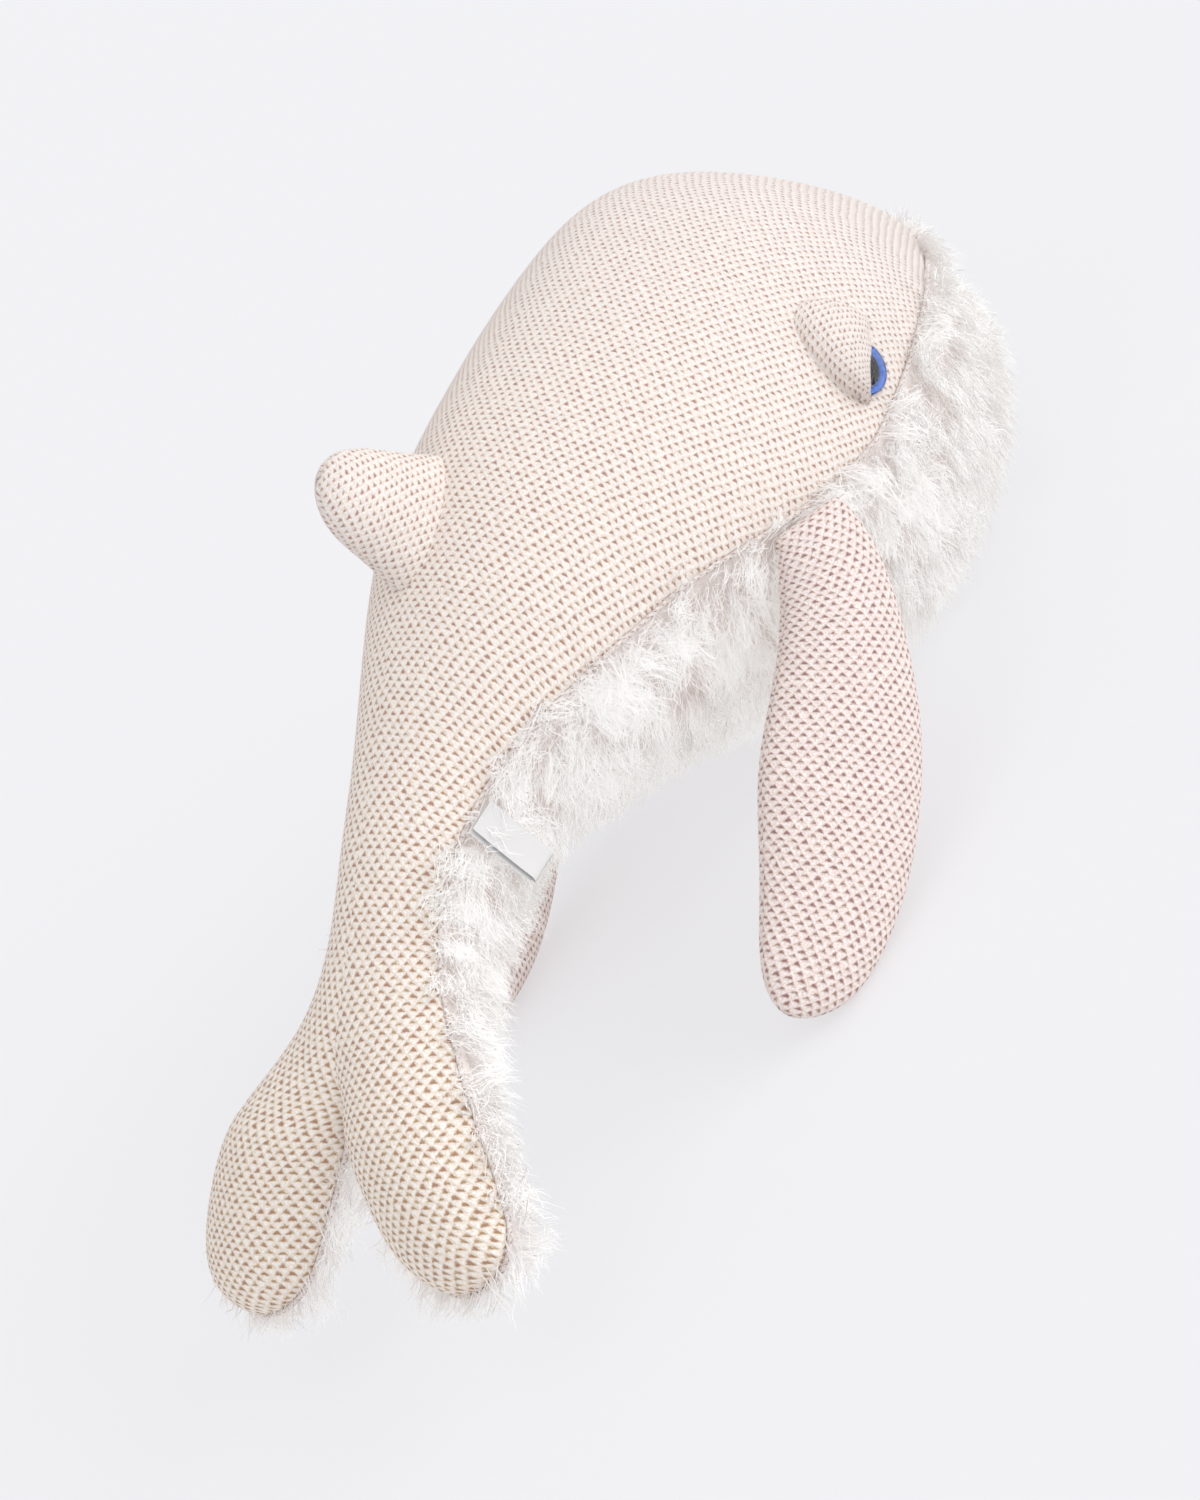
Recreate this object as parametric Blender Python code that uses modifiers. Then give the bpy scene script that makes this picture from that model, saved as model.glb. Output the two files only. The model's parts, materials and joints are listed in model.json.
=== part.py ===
"""A stuffed toy whale: knitted back, long-pile fur belly, sewn flippers, fin and forked tail.

Metres, +Z up, +X towards the head, +Y to the whale's left. It lies on its belly, as it does on a bed.
Each soft form is a coarse cage of rows and columns that a Subdivision Surface rounds. A fabric panel is
the same cage twice, at its face and at its lining, joined round the rim.
"""

from collections import namedtuple
from math import cos, pi, radians, sin

import bmesh
import bpy
from mathutils import Matrix, Vector

# Overall sizes
TORSO_LENGTH = 0.336
TORSO_HEIGHT = 0.230
TORSO_WIDTH = 0.212
TAIL_LENGTH = 0.217
TAIL_SPREAD_SHARE = 1.01
TAIL_SPREAD = TORSO_WIDTH * TAIL_SPREAD_SHARE
TAIL_DROP = 0.082
TAIL_GIRTH_RADIUS = 0.050
FLIPPER_LENGTH = 0.197
FLIPPER_CHORD = 0.067
FLIPPER_THICKNESS = 0.036
FIN_LENGTH = 0.064
FIN_CHORD = 0.052
FIN_THICKNESS = 0.032

# Fabrics and fits
KNIT_THICKNESS = 0.0024
FUR_THICKNESS = 0.0070
TOUCH_GAP = 0.0003
SEAM_GAP = 0.0004
FLAT_DEPTH = 0.0005
REST_PITCH = radians(2.05)
CUTTER_OVERRUN = 0.010
WELD_DISTANCE = 0.00001

# Tail joint, a stuffed ball in the rear of the torso
TAIL_JOINT_HEIGHT = 0.1455
BALL_GAP = 0.0008
BALL_SEGMENTS = 40

# Flipper roots
ROOT_RADIUS = 0.0125
ROOT_REACH = 0.0074
ROOT_SEAT = 0.0084
ROOT_X_FROM_JOINT = 0.117
ROOT_HEIGHT = 0.122

# Eyes and lids
EYE_RADIUS = 0.012
EYE_RIM = 0.0020
EYE_DOME_HEIGHT = 0.0062
PUPIL_RADIUS = 0.0058
SHANK_RADIUS = 0.0025
SHANK_LENGTH = 0.0140
WASHER_RADIUS = 0.0100
WASHER_THICKNESS = 0.0018
WASHER_DEPTH = 0.0036
EYE_X_FROM_JOINT = 0.190
EYE_HEIGHT = 0.133
LID_LENGTH = 0.045
LID_DEPTH = 0.042
LID_HEIGHT = 0.0145
LID_SET_BACK = 0.013
LID_RAISE = 0.006
LID_EDGE_RISE = radians(32)

# Label, a folded ribbon sewn into the right side seam
LABEL_WIDTH = 0.0145
LABEL_LENGTH = 0.034
LABEL_THICKNESS = 0.0010
LABEL_X_FROM_JOINT = -0.042
LABEL_TOP = 0.1475
LABEL_RAYS = 8
FOLD_STEPS = 6

RIGHT, LEFT = -1, 1
QUARTER_COLUMNS = 3
LIMB_COLUMNS = 6
SIDE_NAMES = {RIGHT: "right", LEFT: "left"}

# A ring's corners are pushed out by this, because rounding the cage draws them in
CAGE_SWELL_SHARE = 1.034
LIMB_SWELL_SHARE = 1.12

Row = namedtuple("Row", "along level up down half_width crown_lean chin_lean")
# along: of TORSO_LENGTH. level, up and down: of TORSO_HEIGHT. half_width: of half TORSO_WIDTH. The leans
# are those of a row's upper and lower half, in degrees
TORSO_ROW_SHARES = [
    Row(1.000, 0.500, 0.000, 0.000, 0.000, 4, 10),
    Row(0.965, 0.498, 0.155, 0.261, 0.360, 4, 10),
    Row(0.905, 0.494, 0.300, 0.383, 0.620, 4, 11),
    Row(0.772, 0.490, 0.478, 0.484, 0.860, 3, 9),
    Row(0.594, 0.494, 0.546, 0.501, 0.985, 0, 2),
    Row(0.415, 0.500, 0.524, 0.475, 1.010, 0, 0),
    Row(0.208, 0.600, 0.412, 0.338, 0.840, 0, 0),
    Row(0.000, 0.633, 0.237, 0.240, 0.550, 0, 0),
]

TailRow = namedtuple("TailRow", "inner outer up down start droop")
# inner and outer edge: of TAIL_LENGTH back, half TAIL_SPREAD out, TAIL_DROP down. up and down: of
# TAIL_GIRTH_RADIUS. start: the angle at the inner edge, 0 on the stock and -90 on a free lobe
TAIL_ROW_SHARES = [
    TailRow((0.000, 0.000, 0.000), (0.000, 0.533, 0.000), 1.01, 1.01, 0, 0),
    TailRow((0.124, 0.000, 0.006), (0.124, 0.419, 0.006), 0.78, 0.95, 0, 6),
    TailRow((0.290, 0.000, 0.104), (0.290, 0.352, 0.104), 0.62, 0.93, 0, 17),
    TailRow((0.447, 0.000, 0.287), (0.440, 0.362, 0.280), 0.55, 0.80, 0, 28),
    TailRow((0.613, 0.000, 0.445), (0.558, 0.500, 0.384), 0.50, 0.67, -15, 32),
    TailRow((0.728, 0.000, 0.494), (0.687, 0.738, 0.482), 0.48, 0.56, -90, 36),
    TailRow((0.822, 0.190, 0.655), (0.800, 0.933, 0.620), 0.46, 0.52, -90, 36),
    TailRow((0.914, 0.375, 0.830), (0.890, 1.000, 0.790), 0.40, 0.46, -90, 36),
    TailRow((0.962, 0.700, 0.920), (0.962, 0.700, 0.920), 0.00, 0.00, -90, 36),
]
BALL_ROW_ANGLES = (90, 58, 28)
# The first row from which the middle of the tail is a valley, where the flukes are sewn to the stock
FORK_ROW = 3

LimbRow = namedtuple("LimbRow", "along across half_chord thickness turn")
# along: of FLIPPER_LENGTH. across and half_chord: of FLIPPER_CHORD. thickness: of half
# FLIPPER_THICKNESS. turn: of the chord, in degrees
FLIPPER_ROW_SHARES = [
    LimbRow(0.070, -0.200, 0.355, 0.85, -30),
    LimbRow(0.250, -0.345, 0.440, 0.96, -4),
    LimbRow(0.480, -0.370, 0.540, 1.00, 0),
    LimbRow(0.710, -0.390, 0.450, 0.88, 4),
    LimbRow(0.895, -0.280, 0.330, 0.66, 12),
    LimbRow(0.975, -0.130, 0.000, 0.00, 16),
]
ROOT_ROW_ANGLES = (65, 20)
ROOT_HALF_LENGTH_SHARE = 0.26
ROOT_TURN = radians(-45)
ROOT_CENTRE_SHARES = (-0.010, -0.045)
FLIPPER_SWEEP = radians(25.8)
FLIPPER_ROLL = radians(15)

# along: of FIN_LENGTH. across: of FIN_CHORD. half_chord: of FIN_CHORD. thickness: of half FIN_THICKNESS
FIN_ROW_SHARES = [
    LimbRow(0.000, 0.060, 0.680, 1.15, -8),
    LimbRow(0.450, 0.000, 0.480, 1.00, -3),
    LimbRow(0.830, -0.020, 0.370, 0.80, 5),
    LimbRow(1.000, -0.040, 0.000, 0.00, 6),
]
FIN_X_FROM_JOINT = 0.062
FIN_ROOT_HEIGHT = 0.209
FIN_RAKE = radians(24)

parts = bpy.data.collections.new("plush_whale")
cutters = bpy.data.collections.new("plush_whale_cutters")


def clear_scene():
    for thing in list(bpy.data.objects):
        bpy.data.objects.remove(thing, do_unlink=True)
    bpy.context.scene.collection.children.link(parts)
    bpy.context.scene.collection.children.link(cutters)


def make_material(name, colour, roughness, metallic=0.0):
    material = bpy.data.materials.new(name)
    material.use_nodes = True
    shader = material.node_tree.nodes["Principled BSDF"]
    shader.inputs["Base Color"].default_value = (*colour, 1.0)
    shader.inputs["Roughness"].default_value = roughness
    shader.inputs["Metallic"].default_value = metallic
    material.diffuse_color = (*colour, 1.0)
    return material


KNIT = (0.92, 0.78, 0.70)
FUR = (0.76, 0.71, 0.70)
FILLING = (0.88, 0.88, 0.86)


def add_object(name, mesh, parent, colour=KNIT, roughness=0.9, cutter=False):
    thing = bpy.data.objects.new(name, mesh)
    (cutters if cutter else parts).objects.link(thing)
    thing.parent = parent
    thing.matrix_parent_inverse = parent_offset(parent)
    if cutter:
        thing.hide_render = True
        thing.display_type = "WIRE"
    else:
        mesh.materials.append(make_material(name, colour, roughness))
    return thing


def parent_offset(parent):
    """What undoes the joint empties' places, so that every mesh is written in the whale's frame."""
    offset = Matrix.Identity(4)
    while parent is not None and parent is not whale_frame:
        offset = Matrix.Translation(parent.location) @ offset
        parent = parent.parent
    return offset.inverted()


def add_empty(name, place, parent=None):
    empty = bpy.data.objects.new(name, None)
    parts.objects.link(empty)
    empty.location = place
    empty.parent = parent
    return empty


# Cages: lists of rows, each a list of points


def sheet_into(bm, cage):
    """Adds an open sheet with one vertex for each point of the cage."""
    made = bmesh.ops.create_grid(bm, x_segments=len(cage[0]) - 1, y_segments=len(cage) - 1, size=1)
    places = [place for row in cage for place in row]
    for vertex, place in zip(made["verts"], places):
        vertex.co = place
    bmesh.ops.remove_doubles(bm, verts=made["verts"], dist=WELD_DISTANCE)


def crease_layer(bm):
    return bm.edges.layers.float.get("crease_edge") or bm.edges.layers.float.new("crease_edge")


def round_off(thing, levels=1):
    rounding = thing.modifiers.new("round", "SUBSURF")
    rounding.levels = levels
    rounding.render_levels = levels


def face_outwards(bm):
    bmesh.ops.recalc_face_normals(bm, faces=bm.faces)
    if bm.calc_volume(signed=True) < 0:
        bmesh.ops.reverse_faces(bm, faces=bm.faces)


def finish(bm, name):
    mesh = bpy.data.meshes.new(name)
    bm.to_mesh(mesh)
    bm.free()
    mesh.shade_smooth()
    return mesh


def panel_mesh(name, face, lining):
    """A fabric panel: a sheet at its face, thickened back to its lining, with sharp rims."""
    bm = bmesh.new()
    crease = crease_layer(bm)
    sheet_into(bm, face)
    for edge in bm.edges:
        edge[crease] = float(edge.is_boundary)
    back = {rounded(place): under for row, line in zip(face, lining) for place, under in zip(row, line)}
    made = bmesh.ops.extrude_face_region(bm, geom=bm.faces[:])
    for vertex in made["geom"]:
        if isinstance(vertex, bmesh.types.BMVert):
            vertex.co = back[rounded(vertex.co)]
    corners = {rounded(place) for cage in (face, lining) for place in cage_corners(cage)}
    for edge in bm.edges:
        if all(rounded(vertex.co) in corners for vertex in edge.verts):
            edge[crease] = 1.0
    face_outwards(bm)
    return finish(bm, name)


def rounded(place):
    return tuple(round(value / WELD_DISTANCE) for value in place)


def cage_corners(cage):
    return cage[0][0], cage[0][-1], cage[-1][0], cage[-1][-1]


def closed_mesh(name, cage, creased_columns=()):
    """A closed body of a cage whose last column is its first, with its open ends filled."""
    bm = bmesh.new()
    crease = crease_layer(bm)
    sheet_into(bm, cage)
    ends = [edge for edge in bm.edges if edge.is_boundary]
    if ends:
        bmesh.ops.holes_fill(bm, edges=ends, sides=0)
        for edge in ends:
            edge[crease] = 1.0
    lines = {rounded(row[column]) for row in cage for column in creased_columns}
    across = {rounded(row[column]) for row in cage for column in range(len(row))} - lines
    for edge in bm.edges:
        keys = [rounded(vertex.co) for vertex in edge.verts]
        if all(key in lines for key in keys) and not any(key in across for key in keys):
            edge[crease] = 1.0
    face_outwards(bm)
    return finish(bm, name)


def cage_normals(cage, mirrored_rows=()):
    """Outward normals at a cage's points. Rows that end on the middle plane have no sideways part there."""
    bm = bmesh.new()
    made = bmesh.ops.create_grid(bm, x_segments=len(cage[0]) - 1, y_segments=len(cage) - 1, size=1)
    for vertex, place in zip(made["verts"], [place for row in cage for place in row]):
        vertex.co = place
    bmesh.ops.remove_doubles(bm, verts=bm.verts, dist=WELD_DISTANCE)
    bmesh.ops.recalc_face_normals(bm, faces=bm.faces)
    bm.normal_update()
    found = {rounded(vertex.co): vertex.normal.copy() for vertex in bm.verts}
    bm.free()
    centre = sum((place for row in cage for place in row), Vector()) / (len(cage) * len(cage[0]))
    normals = [[found[rounded(place)].copy() for place in row] for row in cage]
    outward = sum(
        normal.dot(place - centre)
        for row, line in zip(cage, normals)
        for place, normal in zip(row, line)
    )
    for number, line in enumerate(normals):
        for normal in line:
            if outward < 0:
                normal.negate()
        if number in mirrored_rows:
            for end in (0, -1):
                line[end].y = 0.0
                line[end].normalize()
    return normals


def sunk(cage, normals, depths):
    """The cage moved inwards, by each column's own depth or the deepest of those that meet at a point."""
    made = []
    for row, line in zip(cage, normals):
        deepest = {}
        for place, depth in zip(row, depths):
            deepest[rounded(place)] = max(depth, deepest.get(rounded(place), depth))
        made.append([place - normal * deepest[rounded(place)] for place, normal in zip(row, line)])
    return made


def moved(cage, offset, columns=None):
    first, last = columns or (0, len(cage[0]) - 1)
    return [[place + offset for place in row[first : last + 1]] for row in cage]


# Torso


def torso_cage():
    """Rows from the nose to the tail joint. Columns from the back down the right side and round."""
    count = 4 * QUARTER_COLUMNS
    cage = []
    for row in TORSO_ROW_SHARES:
        centre = Vector((joint_place.x + row.along * TORSO_LENGTH, 0.0, row.level * TORSO_HEIGHT))
        line = []
        for column in range(count + 1):
            angle = 2 * pi * (column % count) / count
            sewn = column % QUARTER_COLUMNS == 0 and column != 2 * QUARTER_COLUMNS
            swell = 1.0 if sewn else CAGE_SWELL_SHARE
            upper = cos(angle) > 0
            lean = radians(row.crown_lean if upper else row.chin_lean)
            reach = (row.up if upper else row.down) * TORSO_HEIGHT * cos(angle) * swell
            out = row.half_width * TORSO_WIDTH / 2 * sin(angle) * swell
            line.append(centre + Vector((-reach * sin(lean), RIGHT * out, reach * cos(lean))))
        cage.append(line)
    return cage


def column_depths(cover, knit_columns, count):
    """Depth of the filling under each column: the knit is thin and the fur thick."""
    return [
        (KNIT_THICKNESS if column in knit_columns else FUR_THICKNESS) + cover
        for column in range(count)
    ]


def build_torso():
    cage = torso_cage()
    normals = cage_normals(cage)
    across = 4 * QUARTER_COLUMNS + 1
    knit_lining = sunk(cage, normals, [KNIT_THICKNESS] * across)
    fur_lining = sunk(cage, normals, [FUR_THICKNESS] * across)
    made = {}
    half_gap = SEAM_GAP / 2
    for side, columns in ((RIGHT, (0, QUARTER_COLUMNS)), (LEFT, (3 * QUARTER_COLUMNS, 4 * QUARTER_COLUMNS))):
        offset = Vector((0.0, side * half_gap, half_gap))
        name = f"back_panel_{SIDE_NAMES[side]}"
        mesh = panel_mesh(name, moved(cage, offset, columns), moved(knit_lining, offset, columns))
        made[name] = add_object(name, mesh, whale_frame)
    columns = (QUARTER_COLUMNS, 3 * QUARTER_COLUMNS)
    offset = Vector((0.0, 0.0, -half_gap))
    mesh = panel_mesh("belly_fur_panel", moved(cage, offset, columns), moved(fur_lining, offset, columns))
    made["belly_fur_panel"] = add_object("belly_fur_panel", mesh, whale_frame, FUR, 1.0)
    knit_columns = [c for c in range(across) if c < QUARTER_COLUMNS or c > 3 * QUARTER_COLUMNS]
    depths = column_depths(TOUCH_GAP * 2, knit_columns, across)
    filling = sunk(cage, normals, depths)
    seams = (0, QUARTER_COLUMNS, 3 * QUARTER_COLUMNS)
    mesh = closed_mesh("body_stuffing", filling, seams)
    made["body_stuffing"] = add_object("body_stuffing", mesh, whale_frame, FILLING)
    for thing in made.values():
        round_off(thing)
    return cage, normals, made


def torso_envelope(cage, normals, name, margin):
    """The torso's outside grown by a margin, which cuts what is sewn on to it."""
    grown = sunk(cage, normals, [-margin] * len(cage[0]))
    mesh = closed_mesh(name, grown, (0, QUARTER_COLUMNS, 3 * QUARTER_COLUMNS))
    cutter = add_object(name, mesh, whale_frame, cutter=True)
    round_off(cutter)
    return cutter


def cut(thing, cutter):
    boolean = thing.modifiers.new(f"cut_{cutter.name}", "BOOLEAN")
    boolean.operation = "DIFFERENCE"
    boolean.object = cutter


def ball_cutter():
    """The cup in the torso's rear: a ball that is round about the joint's axis."""
    radius = TAIL_ROW_SHARES[0].up * TAIL_GIRTH_RADIUS + BALL_GAP
    half_width = TAIL_ROW_SHARES[0].outer[1] * TAIL_SPREAD / 2 + BALL_GAP
    bm = bmesh.new()
    bmesh.ops.create_uvsphere(bm, u_segments=BALL_SEGMENTS, v_segments=BALL_SEGMENTS // 2, radius=1.0)
    turn = Matrix.Rotation(pi / BALL_SEGMENTS, 4, "Y") @ Matrix.Rotation(pi / 2, 4, "X")
    scale = Matrix.Diagonal((radius, half_width, radius, 1.0))
    bmesh.ops.transform(bm, matrix=Matrix.Translation(joint_place) @ scale @ turn, verts=bm.verts)
    return add_object("tail_cup_cutter", finish(bm, "tail_cup_cutter"), whale_frame, cutter=True)


# Tail


def tail_place(shares, side):
    back, out, down = shares
    return joint_place + Vector(
        (-back * TAIL_LENGTH, side * out * TAIL_SPREAD / 2, -down * TAIL_DROP)
    )


def tail_line(row, side):
    """One row: from the inner edge over the top to the outer seam, and under it back again."""
    inner, outer = tail_place(row.inner, side), tail_place(row.outer, side)
    droop = radians(row.droop)
    start = radians(row.start)
    chord = outer - inner
    across = chord.normalized() if chord.length > WELD_DISTANCE else Vector((0.0, side, 0.0))
    normal = Vector((-sin(droop), 0.0, cos(droop)))
    half_chord = chord.length / (1 - sin(start))
    count = 2 * QUARTER_COLUMNS
    line = []
    for column in range(count + 1):
        share = column / QUARTER_COLUMNS if column <= QUARTER_COLUMNS else (count - column) / QUARTER_COLUMNS
        angle = start + (pi / 2 - start) * share
        height = row.up if column <= QUARTER_COLUMNS else -row.down
        swell = 1.0 if column in (0, QUARTER_COLUMNS, count) else CAGE_SWELL_SHARE
        place = inner + across * half_chord * (sin(angle) - sin(start))
        line.append(place + normal * height * TAIL_GIRTH_RADIUS * cos(angle) * swell)
    return line


def tail_cage(side):
    return [tail_line(row, side) for row in TAIL_ROW_SHARES]


def ball_cage(side):
    """The rows of the ball ahead of the tail's first row."""
    first = TAIL_ROW_SHARES[0]
    cage = []
    for angle in BALL_ROW_ANGLES:
        share = cos(radians(angle)) if angle < 90 else 0.0
        ahead = -sin(radians(angle)) * first.up * TAIL_GIRTH_RADIUS / TAIL_LENGTH
        row = first._replace(
            inner=(ahead, 0.0, 0.0),
            outer=(ahead, first.outer[1] * share, 0.0),
            up=first.up * share,
            down=first.down * share,
        )
        cage.append(tail_line(row, side))
    return cage


def build_tail():
    made = {}
    rows_in_middle = [row.start > -90 or row.inner[1] == 0 for row in TAIL_ROW_SHARES]
    stock_rows = [number for number, in_middle in enumerate(rows_in_middle) if in_middle]
    lengths = (("tail", slice(FORK_ROW + 1), 0.0), ("fluke", slice(FORK_ROW, None), SEAM_GAP))
    half_gap = SEAM_GAP / 2
    count = 2 * QUARTER_COLUMNS + 1
    for side in (RIGHT, LEFT):
        cage = tail_cage(side)
        normals = cage_normals(cage, stock_rows)
        knit_lining = sunk(cage, normals, [KNIT_THICKNESS] * count)
        fur_lining = sunk(cage, normals, [FUR_THICKNESS] * count)
        for part_name, rows, back in lengths:
            name = f"{part_name}_panel_{SIDE_NAMES[side]}"
            columns = (0, QUARTER_COLUMNS)
            offset = Vector((-back, side * half_gap, half_gap))
            face, lining = moved(cage[rows], offset, columns), moved(knit_lining[rows], offset, columns)
            made[name] = add_object(name, panel_mesh(name, face, lining), tail_joint)
            name = f"{part_name}_fur_panel_{SIDE_NAMES[side]}"
            columns = (QUARTER_COLUMNS, 2 * QUARTER_COLUMNS)
            offset = Vector((-back, side * half_gap, -half_gap))
            face, lining = moved(cage[rows], offset, columns), moved(fur_lining[rows], offset, columns)
            made[name] = add_object(name, panel_mesh(name, face, lining), tail_joint, FUR, 1.0)
    made["tail_stuffing"] = add_object("tail_stuffing", tail_filling_mesh(stock_rows), tail_joint, FILLING)
    halves = made["tail_stuffing"].modifiers.new("other half", "MIRROR")
    halves.use_axis = (False, True, False)
    halves.merge_threshold = WELD_DISTANCE * 2
    for thing in made.values():
        round_off(thing)
    return made


def tail_filling_mesh(stock_rows):
    """The right half of the filling, open at the middle plane."""
    cage = tail_cage(RIGHT)
    normals = cage_normals(cage, stock_rows)
    count = 2 * QUARTER_COLUMNS + 1
    depths = column_depths(TOUCH_GAP * 2, range(QUARTER_COLUMNS), count)
    filling = ball_cage(RIGHT) + sunk(cage, normals, depths)
    bm = bmesh.new()
    crease = crease_layer(bm)
    sheet_into(bm, filling)
    forked = len(BALL_ROW_ANGLES) + FORK_ROW
    lines = [{rounded(row[QUARTER_COLUMNS]) for row in filling[len(BALL_ROW_ANGLES) :]}]
    lines += [{rounded(row[end]) for row in filling[forked:]} for end in (0, -1)]
    lines += [{rounded(place) for place in filling[forked]}]
    for edge in bm.edges:
        if any(all(rounded(vertex.co) in line for vertex in edge.verts) for line in lines):
            edge[crease] = 1.0
    face_outwards(bm)
    return finish(bm, "tail_stuffing")


# Flippers and fin, both flat limbs


def limb_cage(rows, root, along, across, through, length, chord, thickness, first_lines=()):
    """Rows from the root to the tip. Columns from the front edge over one face and back under."""
    cage = list(first_lines)
    for row in rows:
        centre = root + along * row.along * length + across * row.across * chord
        turn = radians(row.turn)
        chordwise = across * cos(turn) - along * sin(turn)
        half_thickness = row.thickness * thickness / 2
        cage.append(limb_line(centre, chordwise, through, row.half_chord * chord, half_thickness))
    return cage


def limb_line(centre, chordwise, through, half_chord, half_thickness):
    line = []
    for column in range(LIMB_COLUMNS + 1):
        angle = 2 * pi * (column % LIMB_COLUMNS) / LIMB_COLUMNS
        swell = 1.0 if column % (LIMB_COLUMNS // 2) == 0 else LIMB_SWELL_SHARE
        line.append(
            centre
            + chordwise * -half_chord * cos(angle) * swell
            + through * half_thickness * sin(angle) * swell
        )
    return line


def flipper_frame(side):
    """The directions along the flipper, across it upwards, and out of its outer face."""
    along = Vector((-cos(FLIPPER_SWEEP), 0.0, -sin(FLIPPER_SWEEP)))
    upright = Vector((-sin(FLIPPER_SWEEP), 0.0, cos(FLIPPER_SWEEP)))
    inward = Vector((0.0, -side, 0.0))
    across = upright * cos(FLIPPER_ROLL) + inward * sin(FLIPPER_ROLL)
    out = upright * sin(FLIPPER_ROLL) - inward * cos(FLIPPER_ROLL)
    return along, across, out


def flipper_root(side):
    """Where the hinge line crosses the flipper's middle plane, and the line's direction."""
    along, across, out = flipper_frame(side)
    hinge = (across * cos(ROOT_TURN) - along * sin(ROOT_TURN)).normalized()
    start = Vector((joint_place.x + ROOT_X_FROM_JOINT, side * TORSO_WIDTH, ROOT_HEIGHT))
    hit, normal = surface_point(seat, start, Vector((0.0, -side, 0.0)))
    normal = (normal - hinge * normal.dot(hinge)).normalized()
    centre = hit + normal * ROOT_SEAT
    return centre, hinge


def build_flipper(side):
    along, across, out = flipper_frame(side)
    centre, hinge = flipper_root(side)
    along_share, across_share = ROOT_CENTRE_SHARES
    root = centre - along * along_share * FLIPPER_LENGTH - across * across_share * FLIPPER_CHORD
    name = SIDE_NAMES[side]
    joint = add_empty(f"flipper_{name}_joint", centre, whale_frame)
    half_length = ROOT_HALF_LENGTH_SHARE * FLIPPER_CHORD
    away = (along - hinge * along.dot(hinge)).normalized()
    first_lines = []
    for angle in ROOT_ROW_ANGLES:
        height = ROOT_RADIUS * (cos(radians(angle)) if angle < 90 else 0.0)
        place = centre - away * ROOT_REACH * sin(radians(angle))
        first_lines.append(limb_line(place, hinge, out, half_length, height / LIMB_SWELL_SHARE))
    cage = limb_cage(
        FLIPPER_ROW_SHARES, root, along, across, out,
        FLIPPER_LENGTH, FLIPPER_CHORD, FLIPPER_THICKNESS, first_lines,
    )
    build_limb(cage, out, joint, [f"flipper_{name}_{piece}" for piece in ("outer", "inner", "stuffing")])
    return joint, hinge


def build_limb(cage, through, parent, names):
    """Two panels sewn along the edges of a limb, and its filling."""
    normals = cage_normals(cage)
    half = len(cage[0]) // 2
    lining = sunk(cage, normals, [KNIT_THICKNESS] * len(cage[0]))
    made = []
    for name, columns, way in zip(names, ((0, half), (half, 2 * half)), (1, -1)):
        offset = through * way * SEAM_GAP / 2
        mesh = panel_mesh(name, moved(cage, offset, columns), moved(lining, offset, columns))
        made.append(add_object(name, mesh, parent))
    filling = sunk(cage, normals, [KNIT_THICKNESS + TOUCH_GAP * 2] * len(cage[0]))
    made.append(add_object(names[2], closed_mesh(names[2], filling, (0, half)), parent, FILLING))
    for thing in made:
        round_off(thing)
    return made


def build_fin(envelope):
    along = Vector((-sin(FIN_RAKE), 0.0, cos(FIN_RAKE)))
    across = Vector((-cos(FIN_RAKE), 0.0, -sin(FIN_RAKE)))
    right = Vector((0.0, RIGHT, 0.0))
    root = Vector((joint_place.x + FIN_X_FROM_JOINT, 0.0, FIN_ROOT_HEIGHT))
    cage = limb_cage(FIN_ROW_SHARES, root, along, across, right, FIN_LENGTH, FIN_CHORD, FIN_THICKNESS)
    made = build_limb(cage, right, whale_frame, ("fin_panel_right", "fin_panel_left", "fin_stuffing"))
    for thing in made:
        cut(thing, envelope)


# Eyes, lids and label


def cast(thing, start, direction):
    """The hit of a ray on a piece as it is drawn, in the piece's own frame: found, place, normal, face."""
    graph = bpy.context.evaluated_depsgraph_get()
    graph.update()
    return thing.evaluated_get(graph).ray_cast(start, direction)


def surface_point(thing, start, direction):
    """Where a ray meets a piece, and the way that the surface faces there."""
    found, place, normal, _ = cast(thing, start, direction)
    if not found:
        raise ValueError(f"nothing of {thing.name} lies on the ray from {start}")
    if normal.dot(direction) > 0:
        normal.negate()
    return place, normal


def turned(name, profile, matrix, parent, colour=KNIT, roughness=0.3, cutter=False):
    """A turned piece: its profile runs down its outer side, as (radius, height)."""
    mesh = bpy.data.meshes.new(name)
    points = [(radius, 0.0, height) for radius, height in profile]
    mesh.from_pydata(points, [(n, n + 1) for n in range(len(points) - 1)], [])
    thing = add_object(name, mesh, parent, colour, roughness, cutter)
    thing.matrix_basis = matrix
    screw = thing.modifiers.new("turn", "SCREW")
    screw.steps = 20
    screw.render_steps = 20
    screw.use_merge_vertices = True
    screw.merge_threshold = WELD_DISTANCE
    mesh.shade_smooth()
    return thing


def facing(place, normal, upright):
    """A matrix at the place whose Z is the normal and whose Y leans towards upright."""
    side = upright.cross(normal).normalized()
    up = normal.cross(side)
    return Matrix.Translation(place) @ Matrix((side, up, normal)).transposed().to_4x4()


def dome_profile(radius, height, base, steps=5):
    """From the crown down to the rim, an arc whose rise is the height."""
    sphere = (radius**2 + height**2) / (2 * height)
    reach = [radius * n / steps for n in range(steps + 1)]
    return [(r, base + height - sphere + (sphere**2 - r**2) ** 0.5) for r in reach]


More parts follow.
